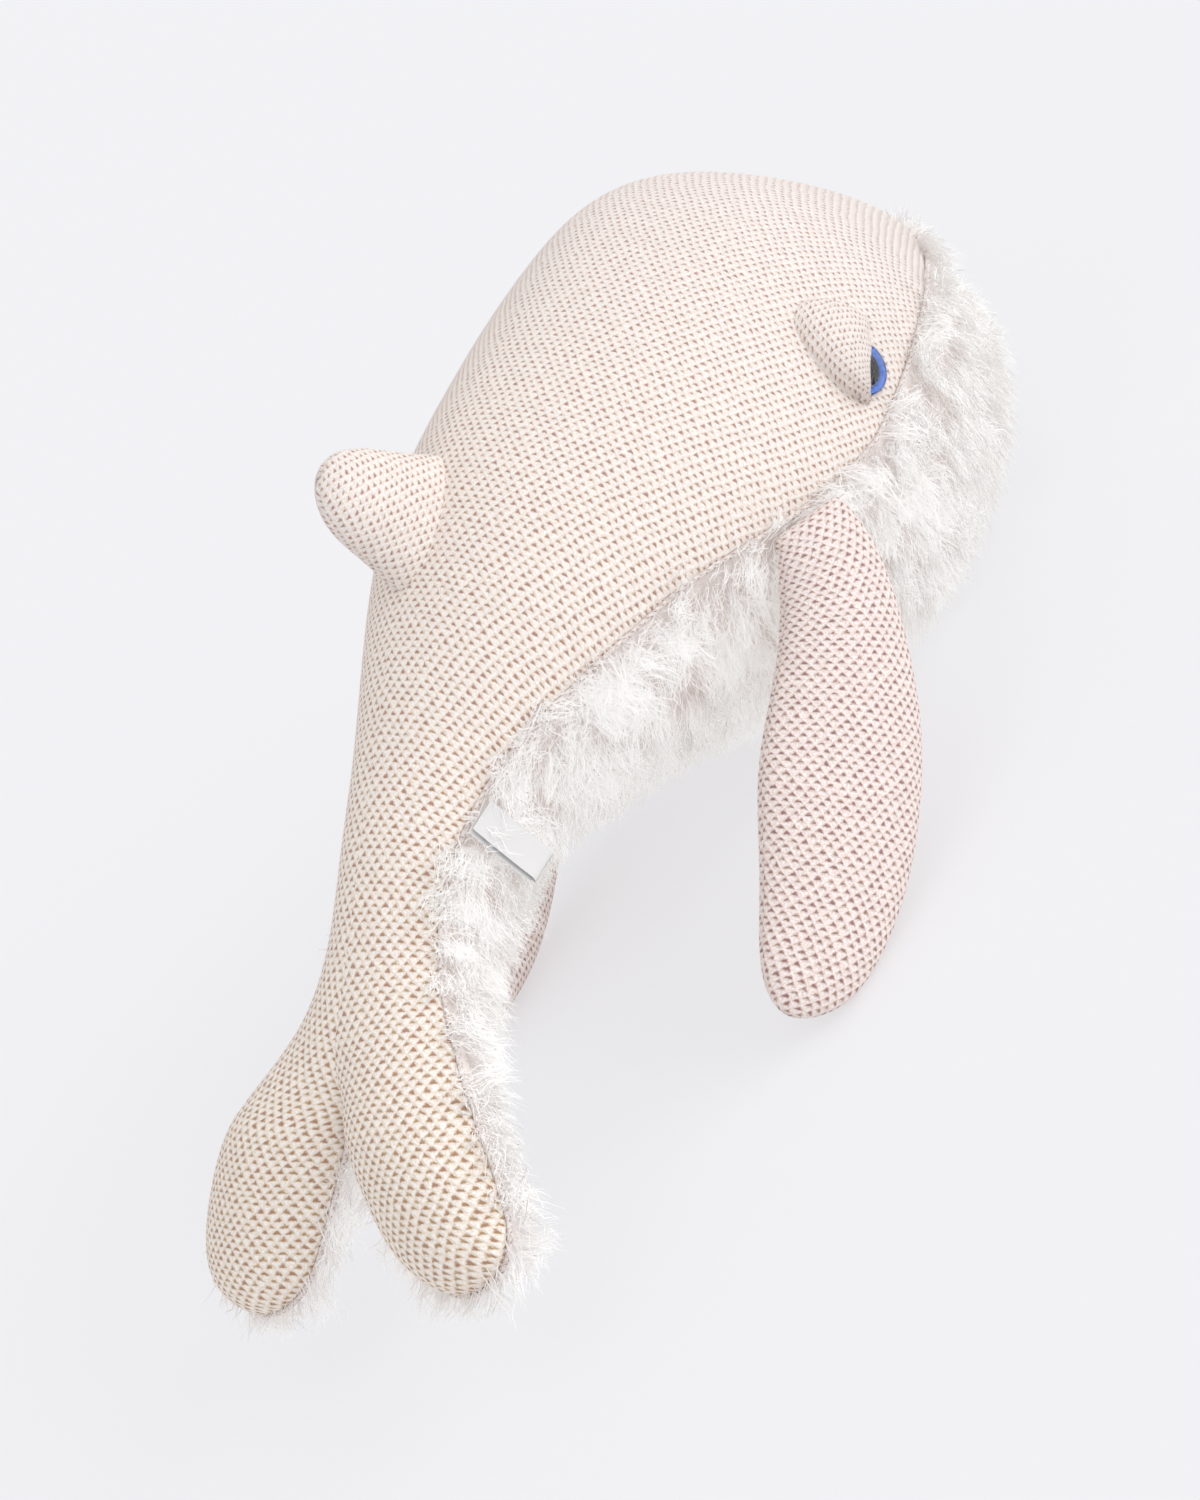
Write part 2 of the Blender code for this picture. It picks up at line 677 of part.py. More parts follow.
def build_eye(side, fur, stuffing, envelope):
    name = SIDE_NAMES[side]
    start = Vector((joint_place.x + EYE_X_FROM_JOINT, side * TORSO_WIDTH, EYE_HEIGHT))
    hit, normal = surface_point(seat, start, Vector((0.0, -side, 0.0)))
    frame = facing(hit, normal, Vector((0.0, 0.0, 1.0)))
    rim_top = TOUCH_GAP + EYE_RIM
    dome_base = rim_top + TOUCH_GAP
    bore = PUPIL_RADIUS + TOUCH_GAP
    iris = [(EYE_RADIUS, rim_top), (EYE_RADIUS, TOUCH_GAP), (bore, TOUCH_GAP), (bore, rim_top)]
    iris.append(iris[0])
    turned(f"eye_{name}_iris", iris, frame, whale_frame, (0.13, 0.22, 0.62), 0.25)
    shank_end = -SHANK_LENGTH
    pupil = [(0.0, rim_top), (PUPIL_RADIUS, rim_top), (PUPIL_RADIUS, TOUCH_GAP)]
    pupil += [(SHANK_RADIUS, TOUCH_GAP), (SHANK_RADIUS, shank_end), (0.0, shank_end)]
    turned(f"eye_{name}_pupil_shank", pupil, frame, whale_frame, (0.01, 0.01, 0.01), 0.2)
    dome = dome_profile(EYE_RADIUS, EYE_DOME_HEIGHT, dome_base) + [(0.0, dome_base)]
    turned(f"eye_{name}_dome", dome, frame, whale_frame, (0.9, 0.92, 0.95), 0.03)
    washer_bore = SHANK_RADIUS + TOUCH_GAP
    washer_top = -WASHER_DEPTH
    washer_foot = washer_top - WASHER_THICKNESS
    washer = [
        (WASHER_RADIUS, washer_top), (WASHER_RADIUS, washer_foot),
        (washer_bore, washer_foot), (washer_bore, washer_top), (WASHER_RADIUS, washer_top),
    ]
    turned(f"eye_{name}_washer", washer, frame, whale_frame, (0.85, 0.85, 0.85), 0.4)
    hole = SHANK_RADIUS + TOUCH_GAP
    wide = WASHER_RADIUS + TOUCH_GAP * 2
    foot = washer_foot - TOUCH_GAP * 2
    bottom = shank_end - TOUCH_GAP * 2
    below = [(wide, foot), (hole, foot), (hole, bottom), (0.0, bottom)]
    pocket = [(0.0, CUTTER_OVERRUN), (wide, CUTTER_OVERRUN)] + below
    cut(stuffing, turned(f"eye_{name}_pocket_cutter", pocket, frame, whale_frame, cutter=True))
    roof = washer_top + TOUCH_GAP
    hole_profile = [(0.0, CUTTER_OVERRUN), (hole, CUTTER_OVERRUN), (hole, roof), (wide, roof)] + below
    hole_cutter = turned(f"eye_{name}_hole_cutter", hole_profile, frame, whale_frame, cutter=True)
    for cloth in (backs[side], fur):
        cut(cloth, hole_cutter)
    build_lid(side, frame, envelope)


def build_lid(side, frame, envelope):
    """The stuffed lid above an eye: half an egg, cut square along its free edge and seated on the knit."""
    name = f"eyelid_{SIDE_NAMES[side]}"
    turn = Matrix.Rotation(-side * LID_EDGE_RISE, 4, "Z")
    lid_frame = frame @ turn
    bm = bmesh.new()
    bmesh.ops.create_uvsphere(bm, u_segments=14, v_segments=8, radius=0.5)
    size = Matrix.Diagonal((LID_LENGTH, LID_DEPTH, 2 * LID_HEIGHT, 1.0))
    middle = Matrix.Translation((-side * LID_RAISE, LID_SET_BACK, 0.0))
    bmesh.ops.transform(bm, matrix=middle @ size, verts=bm.verts)
    lid = add_object(name, finish(bm, name), whale_frame)
    lid.matrix_basis = lid_frame
    bm = bmesh.new()
    bmesh.ops.create_cube(bm, size=1.0)
    block = Matrix.Diagonal((LID_LENGTH * 2, LID_DEPTH, LID_HEIGHT * 4, 1.0))
    place = Matrix.Translation((0.0, -LID_DEPTH / 2, 0.0))
    bmesh.ops.transform(bm, matrix=place @ block, verts=bm.verts)
    block_mesh = finish(bm, f"{name}_edge_cutter")
    edge_cutter = add_object(block_mesh.name, block_mesh, whale_frame, cutter=True)
    edge_cutter.matrix_basis = lid_frame
    cut(lid, edge_cutter)
    base = TOUCH_GAP * 2 + EYE_RIM
    clear = EYE_RADIUS + TOUCH_GAP * 2
    profile = dome_profile(clear, EYE_DOME_HEIGHT + TOUCH_GAP * 2, base)
    profile += [(clear, -CUTTER_OVERRUN), (0.0, -CUTTER_OVERRUN)]
    cut(lid, turned(f"{name}_eye_cutter", profile, frame, whale_frame, cutter=True))
    cut(lid, envelope)


def build_label(panels):
    """A folded ribbon: a thin plate with a round fold, hanging from the seam just clear of the tail."""
    x = joint_place.x + LABEL_X_FROM_JOINT
    reach = 0.0
    for panel in panels:
        for ahead in (-LABEL_WIDTH / 2, 0.0, LABEL_WIDTH / 2):
            for step in range(LABEL_RAYS + 1):
                start = Vector((x + ahead, RIGHT * TORSO_WIDTH, LABEL_TOP - LABEL_LENGTH * step / LABEL_RAYS))
                found, place, _, _ = cast(panel, start, Vector((0.0, -RIGHT, 0.0)))
                if found:
                    reach = max(reach, RIGHT * place.y)
    curve = bpy.data.curves.new("seam_label", "CURVE")
    curve.dimensions = "2D"
    curve.fill_mode = "BOTH"
    curve.extrude = LABEL_WIDTH / 2
    outline = curve.splines.new("POLY")
    radius = LABEL_THICKNESS / 2
    fold = []
    for step in range(FOLD_STEPS + 1):
        angle = pi + pi * step / FOLD_STEPS
        fold.append((radius * cos(angle), radius * (1 + sin(angle)) - LABEL_LENGTH / 2))
    points = fold + [(radius, LABEL_LENGTH / 2), (-radius, LABEL_LENGTH / 2)]
    outline.points.add(len(points) - 1)
    for point, (across, height) in zip(outline.points, points):
        point.co = (across, height, 0.0, 1.0)
    outline.use_cyclic_u = True
    label = bpy.data.objects.new("seam_label", curve)
    parts.objects.link(label)
    label.parent = tail_joint
    label.matrix_parent_inverse = parent_offset(tail_joint)
    curve.materials.append(make_material("seam_label", (0.95, 0.95, 0.95), 0.8))
    out = reach + LABEL_THICKNESS / 2 + TOUCH_GAP * 2
    place = Vector((x, RIGHT * out, LABEL_TOP - LABEL_LENGTH / 2))
    label.matrix_basis = Matrix.Translation(place) @ Matrix(((0, 0, -1), (1, 0, 0), (0, 1, 0))).to_4x4()


def stand_on_floor(belly):
    """Rests the whale on its belly and flippers with its middle over the origin, and cuts the belly flat."""
    whale_frame.rotation_euler.y = -REST_PITCH
    graph = bpy.context.evaluated_depsgraph_get()
    graph.update()
    low = min(corner.z for corner in world_corners(belly, graph))
    drawn = [thing for thing in parts.objects if thing.type == "MESH"]
    spans = [corner.x for thing in drawn for corner in world_corners(thing, graph)]
    whale_frame.location = (-(min(spans) + max(spans)) / 2, 0.0, -low - FLAT_DEPTH)
    bm = bmesh.new()
    bmesh.ops.create_cube(bm, size=TORSO_LENGTH)
    bmesh.ops.translate(bm, verts=bm.verts, vec=(TORSO_LENGTH / 2, 0.0, -TORSO_LENGTH / 2))
    floor = add_object("floor_cutter", finish(bm, "floor_cutter"), None, cutter=True)
    cut(belly, floor)


def world_corners(thing, graph):
    shown = thing.evaluated_get(graph)
    return [shown.matrix_world @ vertex.co for vertex in shown.data.vertices]


clear_scene()
joint_place = Vector((-(TORSO_LENGTH - TAIL_LENGTH) / 2, 0.0, TAIL_JOINT_HEIGHT))
whale_frame = add_empty("whale_frame", (0.0, 0.0, 0.0))
tail_joint = add_empty("tail_joint", joint_place, whale_frame)
torso, torso_normals, torso_parts = build_torso()
backs = {RIGHT: torso_parts["back_panel_right"], LEFT: torso_parts["back_panel_left"]}
seat = torso_envelope(torso, torso_normals, "torso_seat_cutter", TOUCH_GAP * 2)
tail_parts = build_tail()
build_label((tail_parts["tail_panel_right"], tail_parts["tail_fur_panel_right"]))
for way in (RIGHT, LEFT):
    build_flipper(way)
    build_eye(way, torso_parts["belly_fur_panel"], torso_parts["body_stuffing"], seat)
build_fin(seat)
cup = ball_cutter()
for piece in torso_parts.values():
    cut(piece, cup)
stand_on_floor(torso_parts["belly_fur_panel"])
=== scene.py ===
# %% [markdown]
# # A stuffed toy whale
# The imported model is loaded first. It is the frame: it holds the joints and the filling, and it gives each piece
# its place. The skin that shows, knit above and long-pile fur below, is built over it in the cells below.

# %% Load the frame
import json
from math import cos, pi, radians, sin

import bmesh
import bpy
import numpy as np
from mathutils import Matrix, Vector


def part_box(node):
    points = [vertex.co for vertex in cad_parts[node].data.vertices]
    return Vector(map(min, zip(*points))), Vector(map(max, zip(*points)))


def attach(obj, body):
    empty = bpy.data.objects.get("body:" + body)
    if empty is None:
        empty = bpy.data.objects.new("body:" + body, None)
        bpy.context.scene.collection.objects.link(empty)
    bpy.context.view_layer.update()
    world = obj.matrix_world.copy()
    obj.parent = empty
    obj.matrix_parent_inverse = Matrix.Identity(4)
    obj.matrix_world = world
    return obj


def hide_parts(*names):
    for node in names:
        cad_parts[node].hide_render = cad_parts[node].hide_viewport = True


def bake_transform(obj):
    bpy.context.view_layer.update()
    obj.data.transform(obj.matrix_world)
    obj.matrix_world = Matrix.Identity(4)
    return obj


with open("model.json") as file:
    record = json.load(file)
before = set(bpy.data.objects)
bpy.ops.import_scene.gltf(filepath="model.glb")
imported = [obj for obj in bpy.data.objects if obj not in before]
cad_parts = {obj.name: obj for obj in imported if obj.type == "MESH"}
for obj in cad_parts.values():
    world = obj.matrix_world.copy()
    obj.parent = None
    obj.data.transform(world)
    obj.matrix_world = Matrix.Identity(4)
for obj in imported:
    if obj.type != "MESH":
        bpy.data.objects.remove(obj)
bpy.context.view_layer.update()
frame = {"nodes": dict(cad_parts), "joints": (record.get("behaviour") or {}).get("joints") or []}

MM = 0.001
RIGHT, LEFT = -1, 1
SIDES = {"right": RIGHT, "left": LEFT}

# %% [markdown]
# ## The whale's own axes
# The patterns are drawn with the tail's joint as their origin and the back level. On the floor the toy tips back
# until its flippers touch too, so one turn and one move put every point in its place.

# %% Place of the tail's joint and the pitch
PITCH = radians(2.05)
joints = {joint["name"]: joint for joint in frame["joints"]}
tail_joint = np.array(joints["tail_bend"]["pos_m"], float)
turn = np.array(Matrix.Rotation(-PITCH, 3, "Y"))


def settle(points):
    """Points written from the tail's joint, with the whale level, as they are on the floor."""
    return np.asarray(points, float) @ turn.T + tail_joint


def settle_way(vectors):
    return np.asarray(vectors, float) @ turn.T


def unit(vectors):
    return vectors / (np.linalg.norm(vectors, axis=-1, keepdims=True) + 1e-12)


print("tail joint at", tail_joint)

# %% [markdown]
# ## Sections of the body
# A stuffed toy is sewn from flat panels that swell when they are filled. Its sections are easy to read off a
# photograph: a centre, a height up, a height down and a half width. A smooth curve through a few such rows gives
# the whole body, which is less work than sculpting and keeps both sides alike.

# %% Rows of the torso, from the nose to the tail's joint
TORSO_LENGTH, TORSO_HEIGHT, TORSO_WIDTH, JOINT_LEVEL = 336 * MM, 230 * MM, 212 * MM, 145.5 * MM
# along, level, up, down, half width, lean of the crown and of the chin in degrees
TORSO = [
    (0.954, 0.516, 0.000, 0.000, 0.000, 8, 12),
    (0.928, 0.509, 0.110, 0.275, 0.360, 7, 12),
    (0.878, 0.504, 0.267, 0.394, 0.620, 2, 12),
    (0.762, 0.495, 0.496, 0.489, 0.860, 1, 9),
    (0.594, 0.494, 0.548, 0.501, 0.985, 0, 2),
    (0.415, 0.500, 0.520, 0.475, 1.010, 0, 0),
    (0.208, 0.600, 0.412, 0.338, 0.840, 0, 0),
    (0.000, 0.633, 0.237, 0.240, 0.550, 0, 0),
]

# %% Rows of the tail, from behind the joint to a fluke's tip
TAIL_LENGTH, TAIL_SPREAD, TAIL_DROP, TAIL_GIRTH = 217 * MM, 214 * MM, 82 * MM, 50 * MM
# inner edge, outer edge, up, down, the angle at the inner edge, droop
TAIL = [
    ((0.124, 0.000, 0.006), (0.124, 0.419, 0.006), 0.78, 0.95, 0, 6),
    ((0.290, 0.000, 0.104), (0.290, 0.352, 0.104), 0.62, 0.93, 0, 17),
    ((0.447, 0.000, 0.287), (0.440, 0.362, 0.280), 0.55, 0.80, 0, 28),
    ((0.613, 0.000, 0.445), (0.558, 0.500, 0.384), 0.50, 0.67, -15, 32),
    ((0.728, 0.000, 0.494), (0.687, 0.738, 0.482), 0.48, 0.56, -90, 36),
    ((0.822, 0.190, 0.655), (0.800, 0.933, 0.620), 0.46, 0.52, -90, 36),
    ((0.914, 0.375, 0.830), (0.890, 1.000, 0.790), 0.40, 0.46, -90, 36),
    ((0.962, 0.700, 0.920), (0.962, 0.700, 0.920), 0.00, 0.00, -90, 36),
]

# %% Rings round the body
STEPS = 18
COLUMNS = 61
share = np.linspace(0, 1, COLUMNS)


def torso_ring(row, side, top):
    """Points round a quarter of the torso: share 0 at the middle line, 1 at the side seam."""
    along, level, up, down, half_width, crown_lean, chin_lean = row
    angle, lean = share * pi / 2, radians(crown_lean if top else chin_lean)
    reach = (up if top else -down) * TORSO_HEIGHT * np.cos(angle)
    x = along * TORSO_LENGTH - reach * sin(lean)
    y = side * half_width * TORSO_WIDTH / 2 * np.sin(angle)
    return np.stack([x, y, level * TORSO_HEIGHT - JOINT_LEVEL + reach * cos(lean)], -1)


def tail_ring(row, side, top):
    """The same for half of the tail, or for one fluke where it has an inner edge of its own."""
    size = np.array([-TAIL_LENGTH, side * TAIL_SPREAD / 2, -TAIL_DROP])
    inner, outer = np.array(row[0]) * size, np.array(row[1]) * size
    start, droop = radians(row[4]), radians(row[5])
    angle = (start + (pi / 2 - start) * share)[:, None]
    height = (row[2] if top else -row[3]) * TAIL_GIRTH
    normal = np.array([-sin(droop), 0.0, cos(droop)])
    chord = (outer - inner) / (1 - sin(start))
    return inner + chord * (np.sin(angle) - sin(start)) + normal * height * np.cos(angle)


def smooth_rows(rings, steps):
    """A cubic curve along the body through each column, between the second ring and the last but one."""
    made = []
    for start in range(1, len(rings) - 2):
        for step in range(steps):
            t = step / steps
            weights = ((1 - t) ** 3, 3 * t**3 - 6 * t**2 + 4, -3 * t**3 + 3 * t**2 + 3 * t + 1, t**3)
            made.append(sum(weight * rings[start - 1 + k] for k, weight in enumerate(weights)) / 6)
    made.append((rings[-3] + 4 * rings[-2] + rings[-1]) / 6)
    return np.array(made)


def round_over(ring, middle):
    """The ring beyond a closed end: each point of this ring seen through its middle."""
    return 2 * np.asarray(middle) - ring


def body_sheet(side, top):
    """Rows from nose to fluke tip, columns from the middle line to the seam, as they are on the floor."""
    torso = [torso_ring(row, side, top) for row in TORSO]
    tail = [tail_ring(row, side, top) for row in TAIL]
    nose = (torso_ring(TORSO[1], side, True)[0] + torso_ring(TORSO[1], side, False)[0]) / 2
    last = TAIL[-2]
    size = np.array([-TAIL_LENGTH, side * TAIL_SPREAD / 2, -TAIL_DROP])
    tip = (np.array(last[0]) + np.array(last[1])) / 2 * size
    rings = [round_over(torso[1], nose)] + torso + tail + [round_over(tail[-2], tip)]
    points = smooth_rows(rings, STEPS)
    return settle(points + (hang(points) if side == LEFT else 0))


ROWS = (len(TORSO) + len(TAIL) - 1) * STEPS + 1
TAIL_START = (len(TORSO) - 1) * STEPS
FORK_START = (len(TORSO) + 4) * STEPS
forked = (np.arange(ROWS) >= FORK_START)[:, None]
print("rows along the body", ROWS)

# %% [markdown]
# ## A soft toy is never quite even
# Both flukes are cut alike, but the left one of this toy was laid down a little wider, and it hangs lower at its
# tip. A smooth move that starts at nothing keeps the cloth whole.

# %% The set of the left fluke
FLUKE_WIDER, FLUKE_LOWER = np.array([-1.6, 1.9, 2.1]) * MM, np.array([-8.5, 2.2, -14.0]) * MM


def hang(points):
    row = np.arange(ROWS)[:, None, None]
    outward = np.clip(points[..., 1:2] / (45 * MM), 0, 1)
    spread = np.clip((row - TAIL_START - 2 * STEPS) / (FORK_START - TAIL_START - 2 * STEPS), 0, 1)
    tipward = np.clip((row - FORK_START) / (ROWS - 1 - FORK_START) / 0.7, 0, 1)
    return FLUKE_WIDER * outward * spread**1.5 + FLUKE_LOWER * tipward**2 * (3 - 2 * tipward)

# %% [markdown]
# ## From a sheet of points to a mesh
# A grid of points is the plainest mesh there is. Its map coordinates are counted in knitted cells and worked out
# from real lengths over the surface, so that the pattern keeps its size on every panel.

# %% Helpers for sheets of points
def lengths_along(points, axis):
    """Lengths over the surface from the first row or column."""
    gaps = np.linalg.norm(np.diff(points, axis=axis), axis=-1)
    return np.concatenate([np.zeros_like(gaps.take([0], axis)), np.cumsum(gaps, axis)], axis)


def sheet_normals(points, inside):
    """Outward normals of a sheet: inside gives a point within the form for each row."""
    along, across = np.gradient(points, axis=0), np.gradient(points, axis=1)
    normals = np.cross(along, across)
    short = np.linalg.norm(normals, axis=-1) < 1e-12
    normals[short] = (points - inside[:, None])[short]
    normals = unit(normals)
    normals[np.einsum("ijk,ijk->ij", normals, points - inside[:, None]) < 0] *= -1
    return normals


def link(piece):
    bpy.context.scene.collection.objects.link(piece)
    return piece


def grid_mesh(name, sheets, merge=True):
    """One mesh of sheets, each with points, cell coordinates, stretch of the cloth, and whether it is turned."""
    corners, faces, maps, stretches = [], [], [], []
    first = 0
    for points, cells, stretch, turned in sheets:
        rows, columns = points.shape[:2]
        number = np.arange(rows * columns).reshape(rows, columns) + first
        quads = np.stack([number[:-1, :-1], number[:-1, 1:], number[1:, 1:], number[1:, :-1]], -1).reshape(-1, 4)
        faces.append(quads[:, ::-1] if turned else quads)
        corners.append(points.reshape(-1, 3))
        maps.append(cells.reshape(-1, 2))
        stretches.append(np.broadcast_to(stretch, points.shape[:2]).reshape(-1))
        first += rows * columns
    faces, maps = np.concatenate(faces), np.concatenate(maps)
    mesh = bpy.data.meshes.new(name)
    mesh.from_pydata(np.concatenate(corners).tolist(), [], faces.tolist())
    mesh.uv_layers.new(name="cells").data.foreach_set("uv", maps[faces.reshape(-1)].reshape(-1))
    mesh.attributes.new("stretch", "FLOAT", "POINT").data.foreach_set("value", np.concatenate(stretches))
    if merge:
        bm = bmesh.new()
        bm.from_mesh(mesh)
        bmesh.ops.remove_doubles(bm, verts=bm.verts, dist=0.01 * MM)
        bmesh.ops.dissolve_degenerate(bm, edges=bm.edges, dist=0.002 * MM)
        bm.to_mesh(mesh)
        bm.free()
    mesh.shade_smooth()
    return link(bpy.data.objects.new(name, mesh))


def ripple(points, size, height, seed):
    """A slow unevenness, because filling is never spread evenly."""
    rng = np.random.default_rng(seed)
    total = 0
    for _ in range(7):
        way = unit(rng.normal(size=3)) * 2 * pi / size
        total = total + np.sin(points @ way + rng.uniform(0, 2 * pi))
    return height * total / 3


# %% [markdown]
# ## The knitted back
# The cloth is a cotton tuck knit: held loops draw its rows together, so it shows as a honeycomb with a small hole
# under each loop. From hole to hole it is about 4 mm at the head. The cloth is pulled as it goes round the narrow
# stock and the flukes, so the cells are close to 6 mm there.

# %% Cells of the knit over the back
MARKS = [0, 3 * STEPS, 5 * STEPS, TAIL_START, FORK_START, ROWS - 1]


def along_body(values):
    """A value for each row, from one at each mark: nose, brow, mid body, joint, fork and tip."""
    return np.interp(np.arange(ROWS), MARKS, values)


PITCH_ALONG = along_body([3.9, 4.5, 5.0, 5.3, 5.9, 6.0]) * MM
PITCH_ACROSS = along_body([3.4, 3.9, 4.5, 4.8, 5.5, 5.7]) * MM
STRETCH = along_body([0.0, 0.12, 0.40, 0.60, 0.95, 1.0])[:, None]


def knit_cells(points):
    """Cells across are counted from the middle line, and on a fluke from its own middle."""
    across = lengths_along(points, 1)
    shift = along_body([0, 0, 0, 0, 1, 1])[:, None]
    across = (across - across[:, COLUMNS // 2][:, None] * shift) / PITCH_ACROSS[:, None]
    step = np.diff(lengths_along(points, 0)[:, COLUMNS // 2], prepend=0.0)
    along = np.cumsum(step / PITCH_ALONG)[:, None]
    return np.stack([across, np.broadcast_to(along, across.shape)], -1)


# %% [markdown]
# ## Where the knit meets the fur
# The side seam isn't quite at the widest line of the body. It climbs by about a centimetre from the flipper to the
# stock, so that the fur comes up round the side there. The sections stay as they are: only the place where each
# ring is cut in two is moved.

# %% Cut the rings along the seam
SEAM_MARKS = [0, 1.5, 2.5, 3.3, 4.5, 5.3, 6, 9.3, 11, 13.5, 15]
SEAM_RISE = {RIGHT: [0, 2, 4, 4, 0, 5, 11, 12, 6, 1, 0], LEFT: [0, -4, -6, -3, 0, 5, 11, 6, -3, -3, 0]}


def cut_at_seam(top, bottom, side):
    """Two sheets again from the joined ones, evenly spaced from the middle lines to the seam."""
    ring = np.concatenate([top, bottom[:, -2::-1]], 1)
    lengths = lengths_along(ring, 1)
    rise = np.interp(np.arange(ROWS) / STEPS, SEAM_MARKS, SEAM_RISE[side]) * MM
    seam = np.maximum(lengths[:, COLUMNS - 1] - rise, lengths[:, COLUMNS - 1] * 0.5)
    seam = np.minimum(seam, (lengths[:, COLUMNS - 1] + lengths[:, -1]) / 2)
    made = []
    for start, end in ((0 * seam, seam), (lengths[:, -1], seam)):
        wanted = start[:, None] + (end - start)[:, None] * share
        rows = [[np.interp(wanted[n], lengths[n], ring[n, :, k]) for k in range(3)] for n in range(ROWS)]
        made.append(np.moveaxis(np.array(rows), 1, 2))
    return made


# %% [markdown]
# ## A seat for each eye
# A washer pulls the eye against the cloth from behind, so the knit is pressed flat under it. The eye's place and
# its direction come from the frame.

# %% Where the eyes sit
EYE_RADIUS, EYE_DOME, PUPIL = 12 * MM, 6.2 * MM, 8.2 * MM
LID_EDGE_RISE, EYE_SHIFT = radians(32), 3.2 * MM


def eye_frame(word):
    """A matrix with its origin in the eye's back plane, X and Y in that plane and Z out of it."""
    washer, dome = (np.mean(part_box(f"eye_{word}_{piece}"), axis=0) for piece in ("washer", "dome"))
    out = Vector(unit(dome - washer))
    side_way = Vector((0, 0, 1)).cross(out).normalized()
    place = Vector(dome) - out * 4.4 * MM
    return Matrix.Translation(place) @ Matrix((side_way, out.cross(side_way), out)).transposed().to_4x4()


def lid_frame(word):
    """The same, with X along the eyelid's free edge, towards the crown on the right side."""
    return eye_frame(word) @ Matrix.Rotation(-SIDES[word] * LID_EDGE_RISE, 4, "Z")


def eye_place(word):
    """Where the eye itself is: a little up along its lid."""
    return lid_frame(word) @ Matrix.Translation((-SIDES[word] * EYE_SHIFT, 0, 0))


def press_seats(points):
    """Presses points in under each eye, fading out just beyond its rim."""
    for word in SIDES:
        place, back_again = (np.array(m) for m in (eye_place(word), eye_place(word).inverted()))
        local = points @ back_again[:3, :3].T + back_again[:3, 3]
        near = np.clip((19 * MM - np.linalg.norm(local[..., :2], axis=-1)) / (6 * MM), 0, 1)
        near = near * (np.abs(local[..., 2]) < 20 * MM)
        local[..., 2] -= np.maximum(local[..., 2] - 0.1 * MM, 0) * near**2 * (3 - 2 * near)
        points = local @ place[:3, :3].T + place[:3, 3]
    return points


print("eyes at", [tuple(round(v, 3) for v in eye_frame(word).translation) for word in SIDES])

# %% Build the back from two mirrored sheets
TUCK = 1.0 * MM
over, under = {}, {}
for side in (RIGHT, LEFT):
    over[side], under[side] = cut_at_seam(body_sheet(side, True), body_sheet(side, False), side)
inside = {side: (over[side] + under[side]).mean(1) / 2 for side in (RIGHT, LEFT)}
for side in (RIGHT, LEFT):
    inside[side][:FORK_START, 1] *= 0.6


def to_seam(points):
    """Length over the sheet to its nearest seam: the outer one, and on a fluke the inner one too."""
    across = lengths_along(points, 1)
    return np.minimum(across[:, -1:] - across, np.where(forked, across, np.inf))


def knit_sheet(side):
    points = over[side]
    normals = sheet_normals(points, inside[side])
    edge = to_seam(points)
    rolled = np.clip(1 - edge / (5 * MM), 0, 1) ** 2 * TUCK
    lift = ripple(points, 0.075, 0.6 * MM, 3) * np.clip(edge / (15 * MM), 0, 1)
    made = press_seats(points + normals * (lift - rolled)[..., None])
    return made, knit_cells(points), STRETCH, side == RIGHT


CORD = 1.1 * MM
round_cord = np.linspace(0, 2 * pi, 9)[None, :, None]


def seam_cord(line, middles):
    """The turned-in edge of the knit: a thin roll along a seam, which closes it against the fur."""
    way = unit(np.gradient(line, axis=0))
    beside = unit(np.cross(way, line - middles + [0, 0, 1e-6]))
    outward = np.cross(beside, way)
    points = line[:, None] + CORD * (outward[:, None] * np.cos(round_cord) + beside[:, None] * np.sin(round_cord))
    cells = np.stack([lengths_along(points, 1), lengths_along(points, 0)], -1) / (4 * MM)
    return points, cells, 0.0, False


sheets = [knit_sheet(RIGHT), knit_sheet(LEFT)]
for side in (RIGHT, LEFT):
    sheets.append(seam_cord(over[side][:, -1], inside[side]))
    sheets.append(seam_cord(over[side][FORK_START:, 0], inside[side][FORK_START:]))
knit_back = grid_mesh("knit_back", sheets)
print("knit_back", len(knit_back.data.vertices), "points")

# %% [markdown]
# ## The cloth under the fur
# Long-pile fur is a knitted backing with fibres locked into it. The backing is sewn to the knit at the side seam
# and lies about a centimetre under the tips of the pile, so it is the same body, drawn in.

# %% The fur's backing
PILE_DEPTH = 9 * MM


def backing_sheet(side):
    points = under[side]
    normals = sheet_normals(points, inside[side])
    edge = to_seam(points)
    depth = PILE_DEPTH * np.clip(0.02 + edge / (16 * MM), 0, 1)
    return points - normals * depth[..., None], normals, edge


backing = {side: backing_sheet(side) for side in (RIGHT, LEFT)}


def backing_cells(points):
    return np.stack([lengths_along(points, 1), lengths_along(points, 0)], -1) / (1.5 * MM)


fur_backing = grid_mesh(
    "fur_backing",
    [(points, backing_cells(points), 0.0, side == LEFT) for side, (points, _, _) in backing.items()],
)
print("fur_backing", len(fur_backing.data.vertices), "points")

# %% [markdown]
# ## Fur
# Pile stands in locks: a few dozen fibres that lean one way and draw together at their tips. A thin ribbon stands
# for a few fibres. Each lock gets a guide, and its ribbons start round the guide's root and draw towards its tip.
# The ribbons keep the normals of the body under them, so light falls on the fur as it falls on the body.

# %% Growing the fur
SEGMENTS = 3
LOCK_AREA = 30 * MM**2
RIBBONS = 25
PILE = 15 * MM
FEW = 1.0


def within(grid, row, column, across, along):
    """Values of a grid inside its cells."""
    across, along = across[:, None], along[:, None]
    first = grid[row, column] * (1 - across) + grid[row, column + 1] * across
    second = grid[row + 1, column] * (1 - across) + grid[row + 1, column + 1] * across
    return first * (1 - along) + second * along


